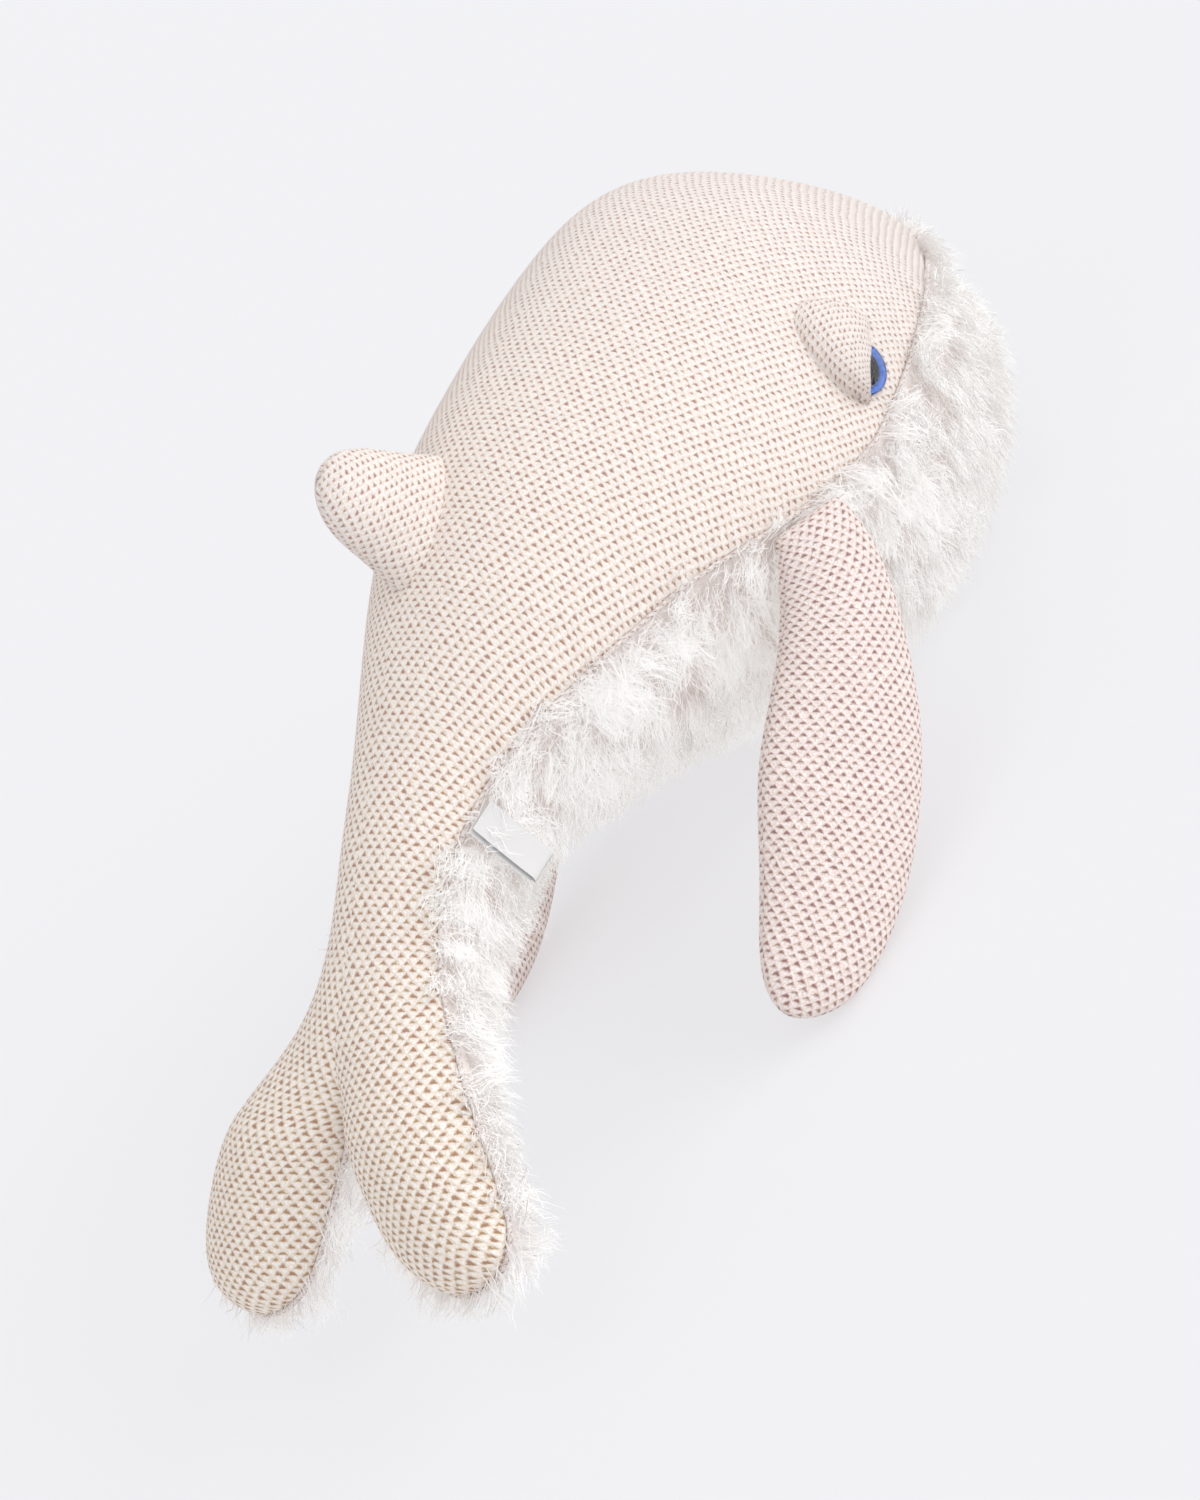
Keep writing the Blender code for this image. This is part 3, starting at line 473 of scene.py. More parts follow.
def lock_guides(side, rows, rng):
    """Root, tip, outward normal, comb and size of each lock on these rows of the backing."""
    points, normals, edge = (grid[rows] for grid in backing[side])
    area = np.linalg.norm(np.cross(points[1:, :-1] - points[:-1, :-1], points[:-1, 1:] - points[:-1, :-1]), axis=-1)
    locks = int(area.sum() / LOCK_AREA * FEW)
    row, column = np.unravel_index(rng.choice(area.size, locks, p=area.reshape(-1) / area.sum()), area.shape)
    across, along = rng.uniform(size=locks), rng.uniform(size=locks)
    root = within(points, row, column, across, along)
    normal = unit(within(normals, row, column, across, along))
    near = np.clip(1 - within(edge[..., None], row, column, across, along) / (24 * MM), 0, 1)
    outward = 0.8 if side == RIGHT else np.where(root[:, :1] < tail_joint[0], 0.0, 0.3)
    comb = settle_way([-0.8, 0.0, -0.45]) + unit(points[row, -1] - root) * near * outward
    comb = comb + rng.normal(0, 0.50, (locks, 3)) + swirl(root)
    comb = unit(comb - normal * np.einsum("ij,ij->i", comb, normal)[:, None])
    lift = rng.uniform(0.45, 0.80, (locks, 1))
    size = PILE * rng.uniform(0.80, 1.15, (locks, 1))
    tip = root + normal * size * lift + comb * size * (1 - lift * 0.45)
    return root, tip, normal, comb, size


def swirl(points):
    """Slow turns in the way that the pile lies, as a hand leaves it."""
    return np.stack([ripple(points, 0.05, 0.55, seed) for seed in (31, 32, 33)], -1)


def ribbon_mesh(name, lines, flat, width, normal, lock_tone):
    """A mesh of tapered ribbons along lines of points."""
    count = len(lines)
    taper = np.array([1.0, 0.95, 0.65, 0.08])[None, :, None]
    half = flat[:, None] * width[:, None] * taper
    corners = np.stack([lines - half, lines + half], 2).reshape(-1, 3)
    number = np.arange(count * (SEGMENTS + 1) * 2).reshape(count, SEGMENTS + 1, 2)
    faces = np.stack([number[:, :-1, 0], number[:, :-1, 1], number[:, 1:, 1], number[:, 1:, 0]], -1).reshape(-1, 4)
    mesh = bpy.data.meshes.new(name)
    mesh.vertices.add(len(corners))
    mesh.vertices.foreach_set("co", corners.reshape(-1))
    mesh.loops.add(faces.size)
    mesh.loops.foreach_set("vertex_index", faces.reshape(-1))
    mesh.polygons.add(len(faces))
    mesh.polygons.foreach_set("loop_start", np.arange(0, faces.size, 4))
    mesh.update(calc_edges=True)
    tone = np.linspace(0, 1, SEGMENTS + 1)[None, :, None] * np.ones((count, 1, 2))
    mesh.attributes.new("tone", "FLOAT", "POINT").data.foreach_set("value", tone.reshape(-1))
    own = np.repeat(lock_tone, (SEGMENTS + 1) * 2)
    mesh.attributes.new("lock", "FLOAT", "POINT").data.foreach_set("value", own)
    mesh.shade_smooth()
    soft = np.repeat(normal[:, None], (SEGMENTS + 1) * 2, 1).reshape(-1, 3)
    mesh.normals_split_custom_set_from_vertices(soft.tolist())
    return link(bpy.data.objects.new(name, mesh))


def grow_fur(name, side, rows, seed):
    rng = np.random.default_rng(seed)
    root, tip, normal, comb, size = lock_guides(side, rows, rng)
    lock = np.repeat(np.arange(len(root)), RIBBONS)
    count = len(lock)
    spread = rng.normal(0, 3.2 * MM, (count, 3))
    spread -= normal[lock] * np.einsum("ij,ij->i", spread, normal[lock])[:, None]
    start = root[lock] + spread
    end = tip[lock] + spread * rng.uniform(0.4, 1.0, (count, 1)) + rng.normal(0, 1.8 * MM, (count, 3))
    end = start + (end - start) * rng.uniform(0.7, 1.12, (count, 1))
    rise = normal[lock] * size[lock] * 0.16
    own_sway = rng.normal(0, 1.3 * MM, (count, 1)) + rng.normal(0, 1.3 * MM, (len(root), 1))[lock]
    sway = unit(np.cross(normal[lock], comb[lock])) * own_sway
    lines = []
    for step in range(SEGMENTS + 1):
        s = step / SEGMENTS
        droop = np.array([0, 0, -2.0 * MM * s * s])
        lines.append(start + (end - start) * s + rise * 4 * s * (1 - s) + sway * sin(2 * pi * s) + droop)
    lines = np.stack(lines, 1)
    lines[..., 2] = np.maximum(lines[..., 2], 0.4 * MM + rng.uniform(0, 1.2, (count, 1)) * MM)
    flat = np.cross(end - start, normal[lock])
    flat = unit(unit(flat) + rng.normal(0, 0.35, (count, 3)))
    width = rng.uniform(0.14, 0.30, (count, 1)) * MM / FEW**0.5
    lean = unit(normal[lock] + rng.normal(0, 0.10, (count, 3)))
    piece = ribbon_mesh(name, lines, flat, width, lean, rng.uniform(0, 1, len(root))[lock])
    print(name, count, "ribbons")
    return piece


TORSO_ROWS, TAIL_ROWS = slice(0, TAIL_START - STEPS + 1), slice(TAIL_START - STEPS, None)
fur = {}
for seed, (word, side) in enumerate(SIDES.items()):
    fur[f"belly_fur_{word}"] = grow_fur(f"belly_fur_{word}", side, TORSO_ROWS, 11 + seed)
    fur[f"tail_fur_{word}"] = grow_fur(f"tail_fur_{word}", side, TAIL_ROWS, 21 + seed)

# %% [markdown]
# ## Flippers and fin
# Each is two panels of knit sewn edge to edge and turned out. Filled, it is a pillow: thickest in the middle,
# with a seam all round that draws the edge in a little.

# %% Rows of a flipper and of the fin
# along, across, half chord, thickness, turn of the chord in degrees
FLIPPER_LENGTH, FLIPPER_CHORD, FLIPPER_THICKNESS = 197 * MM, 67 * MM, 36 * MM
FLIPPER = [
    (0.070, -0.200, 0.355, 0.85, -30),
    (0.250, -0.345, 0.440, 0.96, -4),
    (0.480, -0.370, 0.540, 1.00, 0),
    (0.710, -0.390, 0.450, 0.88, 4),
    (0.895, -0.280, 0.330, 0.66, 12),
    (0.985, -0.150, 0.000, 0.00, 16),
]
FIN_LENGTH, FIN_CHORD, FIN_THICKNESS = 64 * MM, 52 * MM, 32 * MM
FIN = [
    (0.000, 0.060, 0.680, 1.15, -8),
    (0.450, 0.010, 0.460, 1.00, -3),
    (0.850, -0.010, 0.370, 0.82, 5),
    (1.020, -0.030, 0.000, 0.00, 6),
]
LIMB_COLUMNS = 65
LIMB_STEPS = 12
round_share = np.linspace(0, 1, LIMB_COLUMNS)


def limb_ring(centre, chordwise, through, half_chord, half_thickness):
    angle = round_share[:, None] * 2 * pi
    return centre - chordwise * half_chord * np.cos(angle) + through * half_thickness * np.sin(angle)


def limb_rings(rows, root, along, across, through, length, chord, thickness):
    rings = []
    for row in rows:
        centre = root + along * row[0] * length + across * row[1] * chord
        chordwise = across * cos(radians(row[4])) - along * sin(radians(row[4]))
        rings.append(limb_ring(centre, chordwise, through, row[2] * chord, row[3] * thickness / 2))
    return rings


def limb_piece(name, rings, pitch, stretch, turned):
    """A pillow round these rings, with a seam along both edges and cells in proportion to real lengths."""
    middles = [ring[:-1].mean(0) for ring in rings]
    rings = rings + [round_over(rings[-2], middles[-2])]
    first = round_over(rings[1], middles[1]) if np.ptp(rings[0], axis=0).max() < MM else 2 * rings[0] - rings[1]
    points = smooth_rows([first] + rings, LIMB_STEPS)
    rows = len(points)
    normals = sheet_normals(points, points[:, :-1].mean(1))
    normals[:, -1] = normals[:, 0] = unit(normals[:, 0] + normals[:, -1])
    across = lengths_along(points, 1)
    seam = np.abs((round_share + 0.25) % 0.5 - 0.25) * across[:, -1:]
    drawn = np.exp(-((seam / (1.5 * MM)) ** 2)) * 0.8 * MM
    made = points + normals * (ripple(points, 0.05, 0.4 * MM, 5) - drawn)[..., None]
    quarter = (LIMB_COLUMNS - 1) // 4
    wide = np.interp(np.linspace(0, 1, rows), [0, 1], pitch)
    step = np.diff(lengths_along(points, 0)[:, quarter], prepend=0.0)
    lengthwise = np.broadcast_to(np.cumsum(step / wide / 1.08)[:, None], across.shape)
    cells = np.stack([(across - across[:, quarter][:, None]) / wide[:, None], lengthwise], -1)
    pull = np.interp(np.linspace(0, 1, rows), [0, 1], stretch)[:, None]
    return grid_mesh(name, [(made, cells, pull, turned)])


# %% The two flippers
SWEEP, ROLL = radians(25.8), radians(15)
ROOT_TURN, ROOT_RADIUS, ROOT_REACH, ROOT_HALF = radians(-45), 10.2 * MM, 7.6 * MM, 17.4 * MM
flippers = {}
for word, side in SIDES.items():
    joint = joints[f"flipper_{word}_swing"]
    along = np.array([-cos(SWEEP), 0, -sin(SWEEP)])
    upright, inward = np.array([-sin(SWEEP), 0, cos(SWEEP)]), np.array([0, -side, 0])
    across = upright * cos(ROLL) + inward * sin(ROLL)
    out = upright * sin(ROLL) - inward * cos(ROLL)
    hinge = unit(across * cos(ROOT_TURN) - along * sin(ROOT_TURN))
    centre = (np.array(joint["pos_m"]) - tail_joint) @ turn
    root = centre + along * 0.010 * FLIPPER_LENGTH + across * 0.045 * FLIPPER_CHORD
    away = unit(along - hinge * along.dot(hinge))
    rings = []
    for angle, height in ((90, 0.0), (74, 0.55), (30, 1.0)):
        place = centre - away * ROOT_REACH * sin(radians(angle))
        wide = ROOT_HALF * (0.0 if height == 0.0 else 1.0)
        rings.append(limb_ring(place, hinge, out, wide, ROOT_RADIUS * height))
    rings += limb_rings(FLIPPER, root, along, across, out, FLIPPER_LENGTH, FLIPPER_CHORD, FLIPPER_THICKNESS)
    rings = list(settle(rings))
    flippers[word] = limb_piece(f"flipper_{word}", rings, (4.6 * MM, 5.0 * MM), (0.45, 0.75), side == RIGHT)

# %% The fin on the back
RAKE = radians(24)
along, across = np.array([-sin(RAKE), 0, cos(RAKE)]), np.array([-cos(RAKE), 0, -sin(RAKE)])
root = np.array([62 * MM, 0, 209 * MM - JOINT_LEVEL])
rings = limb_rings(FIN, root, along, across, np.array([0.0, -1.0, 0.0]), FIN_LENGTH, FIN_CHORD, FIN_THICKNESS)
fin = limb_piece("fin", list(settle(rings)), (4.3 * MM, 4.3 * MM), (0.4, 0.3), True)

# %% [markdown]
# ## Eyes
# A toy's safety eye is a glossy half ball on a shank, locked behind the cloth by a washer. The colour sits on its
# flat back, under clear plastic: a black disc with a printed iris round it. So the eye has a clear dome, and
# behind it a ring and a disc.

# %% Turn the eyes' pieces
def turned_piece(name, profile, matrix, steps=64):
    """A turned piece from its profile of radius and height, with its radius kept as a map coordinate."""
    profile = np.array(profile)
    angle = np.linspace(0, 2 * pi, steps + 1)
    points = np.stack(
        [profile[:, 0][:, None] * np.cos(angle), profile[:, 0][:, None] * np.sin(angle), profile[:, 1][:, None] + angle * 0],
        -1,
    )
    cells = np.stack(np.broadcast_arrays(angle / (2 * pi), profile[:, 0][:, None] / EYE_RADIUS), -1)
    piece = grid_mesh(name, [(points, cells, 0.0, False)])
    piece.data.transform(matrix)
    bm = bmesh.new()
    bm.from_mesh(piece.data)
    bmesh.ops.recalc_face_normals(bm, faces=bm.faces)
    bm.to_mesh(piece.data)
    bm.free()
    piece.data.shade_smooth()
    return piece


def dome_profile(radius, height, base, steps=16):
    sphere = (radius**2 + height**2) / (2 * height)
    reach = [radius * (1 - (1 - n / steps) ** 1.6) for n in range(steps + 1)]
    return [(r, base + height - sphere + (sphere**2 - r**2) ** 0.5) for r in reach]


eyes = {}
for word in SIDES:
    place = eye_place(word)
    rim = 0.3 * MM
    ring = [(PUPIL, 1.3 * MM), (9.2 * MM, 1.7 * MM), (10.8 * MM, 2.2 * MM), (11.6 * MM, 2.3 * MM), (11.6 * MM, rim), (PUPIL, rim), (PUPIL, 1.3 * MM)]
    eyes[f"iris_{word}"] = turned_piece(f"iris_{word}", ring, place)
    disc = [(0.0, 1.55 * MM), (PUPIL * 0.9, 1.55 * MM), (PUPIL * 0.985, 1.4 * MM), (PUPIL * 0.985, rim), (0.0, rim)]
    eyes[f"pupil_{word}"] = turned_piece(f"pupil_{word}", disc, place)
    crown = dome_profile(EYE_RADIUS, EYE_DOME, 2.5 * MM)
    crown += [(EYE_RADIUS, 0.8 * MM), (EYE_RADIUS - 0.3 * MM, 0.3 * MM), (EYE_RADIUS - 0.35 * MM, 2.42 * MM), (0.0, 2.42 * MM)]
    eyes[f"dome_{word}"] = turned_piece(f"dome_{word}", crown, place)
print("eye pieces", list(eyes))

# %% [markdown]
# ## Eyelids
# An eyelid is a small stuffed pouch of the same knit, sewn over the upper part of the eye. Seen flat it is a
# teardrop. Its free edge is a fold, straight across the eye. It swells up behind the fold and turns down steeply
# to its seam, which leaves the thin line that shows round it.

# %% The outline of an eyelid
LID_HEIGHT = 13 * MM
# along the free edge and away from it in millimetres, from its pointed end round to its broad end
LID_SEAM = [
    (-16, -9), (-12.5, -3), (-9.5, 4), (-7, 12), (-1, 21), (8, 27.5),
    (18, 31), (27, 28), (31.5, 19), (30.5, 7), (23, -6), (14, -14),
]
# the free edge from end to end: along, away, and its height above the eye's plane
LID_EDGE = [(-14, -5, 0), (-12.5, -2, 0), (-8.5, 1, 7.2), (1, 2.2, 9.3), (12.5, -1.6, 6.2), (23, -5, 0), (28, -8, 0)]
LID_ROWS, LID_COLUMNS = 57, 49


def curve_through(marks, shares):
    """A smooth curve through marks in millimetres, the first and last of which only steer it."""
    marks = np.array(marks, float) * MM
    place = shares * (len(marks) - 3)
    first = np.minimum(place.astype(int), len(marks) - 4)
    t = (place - first)[:, None]
    a, b, c, d = (marks[first + k] for k in range(4))
    return b + 0.5 * t * (c - a + t * (2 * a - 5 * b + 4 * c - d + t * (3 * (b - c) + d - a)))


# %% The two eyelids
def lid_piece(word, side):
    """Rows from the pointed end to the broad one, columns from under the fold, over the top and to the seam."""
    u = (1 - np.cos(np.linspace(0, pi, LID_ROWS))) / 2
    seam, edge = curve_through(LID_SEAM, u), curve_through(LID_EDGE, u)
    swell = np.sin(pi * u)[:, None]
    height = LID_HEIGHT * swell**0.45
    lip = np.clip(edge[:, 2:], 0, height)
    edge = edge[:, :2]
    t = np.linspace(0, 1, LID_COLUMNS)[None, :]
    over_top = np.clip((t - 0.12) / 0.76, 0, 1)
    rise = lip + (height - lip) * (1 - np.clip(1 - over_top / 0.35, 0, 1) ** 2)
    fall = height * np.sqrt(np.clip(1 - (np.clip(over_top - 0.35, 0, 1) / 0.65) ** 2.2, 0, 1))
    z = np.where(over_top < 0.35, rise, fall)
    under_fold = np.clip(1 - t / 0.12, 0, 1)
    sewn = np.clip((t - 0.88) / 0.12, 0, 1)
    z = z - (1 - (1 - np.minimum(under_fold * 2.5, 1)) ** 2) * 0.9 * MM - sewn * 5 * MM
    flat = edge[:, None] + (seam - edge)[:, None] * over_top[..., None] ** 0.92
    x, y = flat[..., 0], flat[..., 1]
    y = y + (under_fold**2 * 4.5 - np.sin(pi * np.clip(t / 0.2, 0, 1)) * 0.5) * MM * swell**0.5
    z = z - (x**2 + y**2) / (34 * MM) ** 2 * 3.6 * MM
    points = np.stack([-side * x, y, z], -1)
    along = lengths_along(points, 0)[:, LID_COLUMNS // 2][:, None] / (3.9 * MM)
    cells = np.stack([along + 0 * t, lengths_along(points, 1) / (4.1 * MM)], -1)
    piece = grid_mesh(f"lid_{word}", [(points, cells, 0.3, side == LEFT)])
    piece.data.transform(lid_frame(word))
    return piece


lids = {word: lid_piece(word, side) for word, side in SIDES.items()}
print("lids", [len(lid.data.vertices) for lid in lids.values()])

# %% [markdown]
# ## The label
# A woven ribbon folded in two, with both ends caught in the side seam. It is left blank. The two layers stay
# a little apart at the fold, and the free end curls away from the fur.

# %% A folded ribbon
LABEL_WIDTH, LABEL_LENGTH, FOLD, SLIP = 14 * MM, 34 * MM, 0.8 * MM, 0.8 * MM
low, high = (np.array(corner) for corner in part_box("seam_label"))


def ribbon_line(s):
    """Height below the seam, distance out and slip to the side, at a share of the way along the ribbon."""
    down = LABEL_LENGTH * (1 - np.abs(2 * s - 1))
    layer = np.where(s < 0.5, 1.0, -1.0) * np.clip((LABEL_LENGTH - down) / (2 * MM), 0, 1) ** 0.5
    curl = 2.6 * MM * (down / LABEL_LENGTH) ** 2
    return down, curl + layer * FOLD, layer * SLIP


lengthwise = np.linspace(0, 1, 97)
down, out, slip = ribbon_line(lengthwise)
across = np.linspace(-0.5, 0.5, 15) * LABEL_WIDTH
middle_x, face_y, top_z = (low[0] + high[0]) / 2 - 5 * MM, low[1] - 0.5 * MM, high[2] + 5.5 * MM
points = np.stack(np.broadcast_arrays(
    middle_x + across[None, :] + down[:, None] * 0.05 + slip[:, None],
    face_y - 0.8 * MM - out[:, None] - (across[None, :] / LABEL_WIDTH) ** 2 * 1.2 * MM,
    top_z - down[:, None],
), -1)
cells = np.stack([points[..., 0], lengths_along(points, 0)], -1) / (0.5 * MM)
label = grid_mesh("label", [(points, cells, 0.0, False)], merge=False)
label_length = float(lengths_along(points, 0)[-1, 7])
print("label", round(label_length, 4), "m of ribbon")

# %% [markdown]
# ## Camera
# The photograph looks from behind the whale's right side and a little above, with the camera rolled until the
# tail points down. The long lens keeps the near flipper from looking large.

# %% The camera
back = Vector((-0.46794, -0.79198, 0.39217))
roll, azimuth = radians(46.21), radians(-30.58)
side_way = Vector((cos(azimuth), sin(azimuth), 0.0))
up_way = back.cross(side_way)
camera_right = side_way * cos(roll) - up_way * sin(roll)
camera_up = side_way * sin(roll) + up_way * cos(roll)
camera_data = bpy.data.cameras.new("camera")
camera = link(bpy.data.objects.new("camera", camera_data))
place = Matrix((camera_right, camera_up, back)).transposed().to_4x4()
place.translation = Vector((0.030, 0.0, 0.134)) + back * 1.2282
level = Matrix.Translation(Vector(tail_joint)) @ Matrix.Rotation(-PITCH, 4, "Y") @ Matrix.Translation((0.055, 0, -0.1455))
camera.matrix_world = level @ place
camera_data.sensor_width = 36
camera_data.lens = 70.67
camera_data.shift_x = 0.0032
camera_data.shift_y = -0.0977
bpy.context.scene.camera = camera

# %% [markdown]
# ## Light and floor
# The photograph is high key: a wide soft light, a pale floor that throws light back up, and hardly a shadow. The
# floor glows a little, as a lit studio sweep does, which keeps its shadows faint.

# %% Helpers for materials
def linear(hex_colour):
    """An sRGB hex colour as linear red, green, blue and alpha."""
    parts = [int(hex_colour[n : n + 2], 16) / 255 for n in (1, 3, 5)]
    return (*(v / 12.92 if v <= 0.04045 else ((v + 0.055) / 1.055) ** 2.4 for v in parts), 1.0)


def add(tree, kind, settings=None, **inputs):
    """Adds a node with its settings, and fills or links its inputs by name, or by number as _0."""
    node = tree.nodes.new(kind)
    for name, value in (settings or {}).items():
        setattr(node, name, value)
    for name, value in inputs.items():
        key = int(name[1:]) if name[0] == "_" else name.replace("_", " ")
        socket = node.inputs[key]
        if isinstance(value, bpy.types.NodeSocket):
            tree.links.new(value, socket)
        else:
            socket.default_value = value
    return node


def new_material(name, **values):
    """A material and its Principled shader, with uniform values set straight on the shader."""
    material = bpy.data.materials.new(name)
    material.use_nodes = True
    shader = material.node_tree.nodes["Principled BSDF"]
    for key, value in values.items():
        shader.inputs[key.replace("_", " ")].default_value = value
    return material, material.node_tree, shader


# %% World, lights and floor
bpy.context.scene.view_settings.view_transform = "Standard"
world = bpy.data.worlds.new("studio")
world.use_nodes = True
world.node_tree.nodes["Background"].inputs["Color"].default_value = linear("#F8F8FA")
world.node_tree.nodes["Background"].inputs["Strength"].default_value = 0.86
bpy.context.scene.world = world
LIGHTS = (
    ("key", camera_right * 0.75 + camera_up * 0.8 + back * 0.7, 1.60, 50),
    ("fill", camera_right * -0.2 + back + Vector((0, 0, 0.6)), 0.34, 90),
)
for name, way, power, size in LIGHTS:
    lamp_data = bpy.data.lights.new(name, "SUN")
    lamp_data.energy = power
    lamp_data.angle = radians(size)
    lamp = link(bpy.data.objects.new(name, lamp_data))
    lamp.rotation_euler = way.to_track_quat("Z", "Y").to_euler()
floor_mesh = bpy.data.meshes.new("floor")
bm = bmesh.new()
bmesh.ops.create_grid(bm, x_segments=1, y_segments=1, size=15)
bm.to_mesh(floor_mesh)
bm.free()
floor = link(bpy.data.objects.new("floor", floor_mesh))
material, tree, shader = new_material(
    "pale_floor", Base_Color=linear("#A8A8AA"), Roughness=1.0, Specular_IOR_Level=0.0,
    Emission_Color=linear("#F1F1F3"), Emission_Strength=0.56,
)
floor_mesh.materials.append(material)

# %% [markdown]
# ## Cotton yarn
# The real cloth is a two-ply cotton knit in a pale cream with a touch of pink. Cotton has no gloss: the eye sees
# soft round loops, small holes between them, and a bright fuzz along the edges. The holes are painted tan, as
# painted shade down in each hole, and the yarn is painted darker round each hole, as painted shade where it dips in.
# The honeycomb is made of two lattices of cells, one half a cell along and across from the other. A hole is a small
# arch, flat at its foot and pointed towards the head. Everything is counted in cells, so the pattern follows the real
# size of the knit.

# %% The knit's material
def math(tree, operation, *values):
    """One sum on numbers or node outputs."""
    inputs = {f"_{n}": value for n, value in enumerate(values)}
    return add(tree, "ShaderNodeMath", {"operation": operation}, **inputs).outputs[0]


def lattice_field(tree, cells, offset, half_width, height):
    """0 at the heart of this lattice's holes, 1 at their rims, and more beyond."""
    moved = add(tree, "ShaderNodeVectorMath", {"operation": "ADD"}, _0=cells, _1=offset).outputs[0]
    cell = add(tree, "ShaderNodeVectorMath", {"operation": "FRACTION"}, _0=moved).outputs[0]
    parts = add(tree, "ShaderNodeSeparateXYZ", None, Vector=cell)
    across = math(tree, "ABSOLUTE", math(tree, "SUBTRACT", parts.outputs[0], 0.5))
    across = math(tree, "POWER", math(tree, "DIVIDE", across, half_width), 1.5)
    along =math(tree, "DIVIDE", math(tree, "SUBTRACT", parts.outputs[1], 0.5), height)
    roof = math(tree, "SUBTRACT", math(tree, "ADD", across, 0.5), along)
    foot = math(tree, "MULTIPLY_ADD", along, 2.2, -0.1)
    return math(tree, "SMOOTH_MAX", roof, foot, 0.35)


def ramp_value(tree, value, low, high, start, end):
    return add(
        tree, "ShaderNodeMapRange", {"interpolation_type": "SMOOTHSTEP"},
        Value=value, From_Min=low, From_Max=high, To_Min=start, To_Max=end,
    ).outputs["Result"]


def mix_colour(tree, factor, first, second, blend="MIX"):
    node = add(tree, "ShaderNodeMix", {"data_type": "RGBA", "blend_type": blend}, _0=factor)
    for socket, colour in ((node.inputs[6], first), (node.inputs[7], second)):
        if isinstance(colour, str):
            socket.default_value = linear(colour)
        else:
            tree.links.new(colour, socket)
    return node.outputs[2]


def knit_material(name, lit_yarn, shaded_yarn, light_gap, dark_gap):
    """Colours come in pairs: for the cloth at rest, and for the cloth when it is fully stretched."""
    material, tree, shader = new_material(
        name, Roughness=0.92, Specular_IOR_Level=0.2,
        Sheen_Weight=0.3, Sheen_Roughness=0.45, Sheen_Tint=linear("#FFF3EA"),
    )
    cells = add(tree, "ShaderNodeUVMap", {"uv_map": "cells"}).outputs[0]
    stretch = add(tree, "ShaderNodeAttribute", {"attribute_name": "stretch"}).outputs["Fac"]
    wander = add(tree, "ShaderNodeTexNoise", {"noise_dimensions": "2D"}, Vector=cells, Scale=0.5, Detail=2.0)
    off = add(tree, "ShaderNodeVectorMath", {"operation": "SUBTRACT"}, _0=wander.outputs["Color"], _1=(0.5, 0.5, 0.5))
    off = add(tree, "ShaderNodeVectorMath", {"operation": "MULTIPLY"}, _0=off.outputs[0], _1=(0.4, 0.4, 0.0))
    cells = add(tree, "ShaderNodeVectorMath", {"operation": "ADD"}, _0=cells, _1=off.outputs[0]).outputs[0]
    fibre = add(tree, "ShaderNodeTexNoise", {"noise_dimensions": "2D"}, Vector=cells, Scale=5.5, Detail=3.0, Roughness=0.6)
    speckle = ramp_value(tree, fibre.outputs["Fac"], 0.36, 0.60, 0.0, 1.0)
    half_width = math(tree, "MULTIPLY_ADD", stretch, 0.13, 0.225)
    height = math(tree, "MULTIPLY_ADD", stretch, 0.18, 0.20)
    offsets = ((0.0, 0.0, 0.0), (0.5, 0.5, 0.0))
    field = math(tree, "MINIMUM", *(lattice_field(tree, cells, offset, half_width, height) for offset in offsets))
    frayed = math(tree, "MULTIPLY_ADD", fibre.outputs["Fac"], 1.0, math(tree, "SUBTRACT", field, 0.5))
    tint = add(tree, "ShaderNodeTexNoise", {"noise_dimensions": "2D"}, Vector=cells, Scale=1.3, Detail=1.0)
    tint = ramp_value(tree, tint.outputs["Fac"], 0.40, 0.60, 0.0, 1.0)
    frayed = math(tree, "MULTIPLY_ADD", tint, 0.22, math(tree, "SUBTRACT", frayed, 0.11))
    hole = ramp_value(tree, frayed, 1.32, 0.42, 0.0, 1.0)
    loop = ramp_value(tree, field, 0.6, 1.9, 0.0, 1.0)
    strands = math(tree, "SINE", math(tree, "MULTIPLY", frayed, 9.0))
    shade_round_holes = ramp_value(tree, frayed, 2.1, 0.9, 0.0, 0.75)
    # Yarn colours come lit and in painted shade; the fibre noise flecks the painted shade in at random.
    yarn = mix_colour(tree, speckle, mix_colour(tree, stretch, *shaded_yarn), mix_colour(tree, stretch, *lit_yarn))
    # Painted shade round each hole: the yarn darkens where it dips into the hole.
    yarn = mix_colour(tree, shade_round_holes, yarn, mix_colour(tree, stretch, *shaded_yarn))
    # The holes' colours are painted shade down in each hole, in two tones that wander at random.
    gap = mix_colour(tree, tint, mix_colour(tree, stretch, *light_gap), mix_colour(tree, stretch, *dark_gap))
    deep = math(tree, "MULTIPLY_ADD", stretch, 0.10, 0.88)
    tree.links.new(mix_colour(tree, math(tree, "MULTIPLY", hole, deep), yarn, gap), shader.inputs["Base Color"])
    relief = math(tree, "MULTIPLY_ADD", fibre.outputs["Fac"], 0.45, loop)
    relief = math(tree, "MULTIPLY_ADD", strands, 0.14, relief)
    bump = add(tree, "ShaderNodeBump", None, Height=relief, Distance=0.8 * MM, Strength=0.75)
    tree.links.new(bump.outputs[0], shader.inputs["Normal"])
    return material


# For each knit: the lit yarn, the yarn in painted shade, then two tones of the painted shade in the holes, each as a
# pair for rest and stretch.
body_knit = knit_material(
    "tuck_knit_cotton", ("#FFFBF8", "#FFFBF5"), ("#F5E4DD", "#F6E8DA"),
    ("#A67C76", "#AC8466"), ("#AC8B78", "#AE905E"),
)
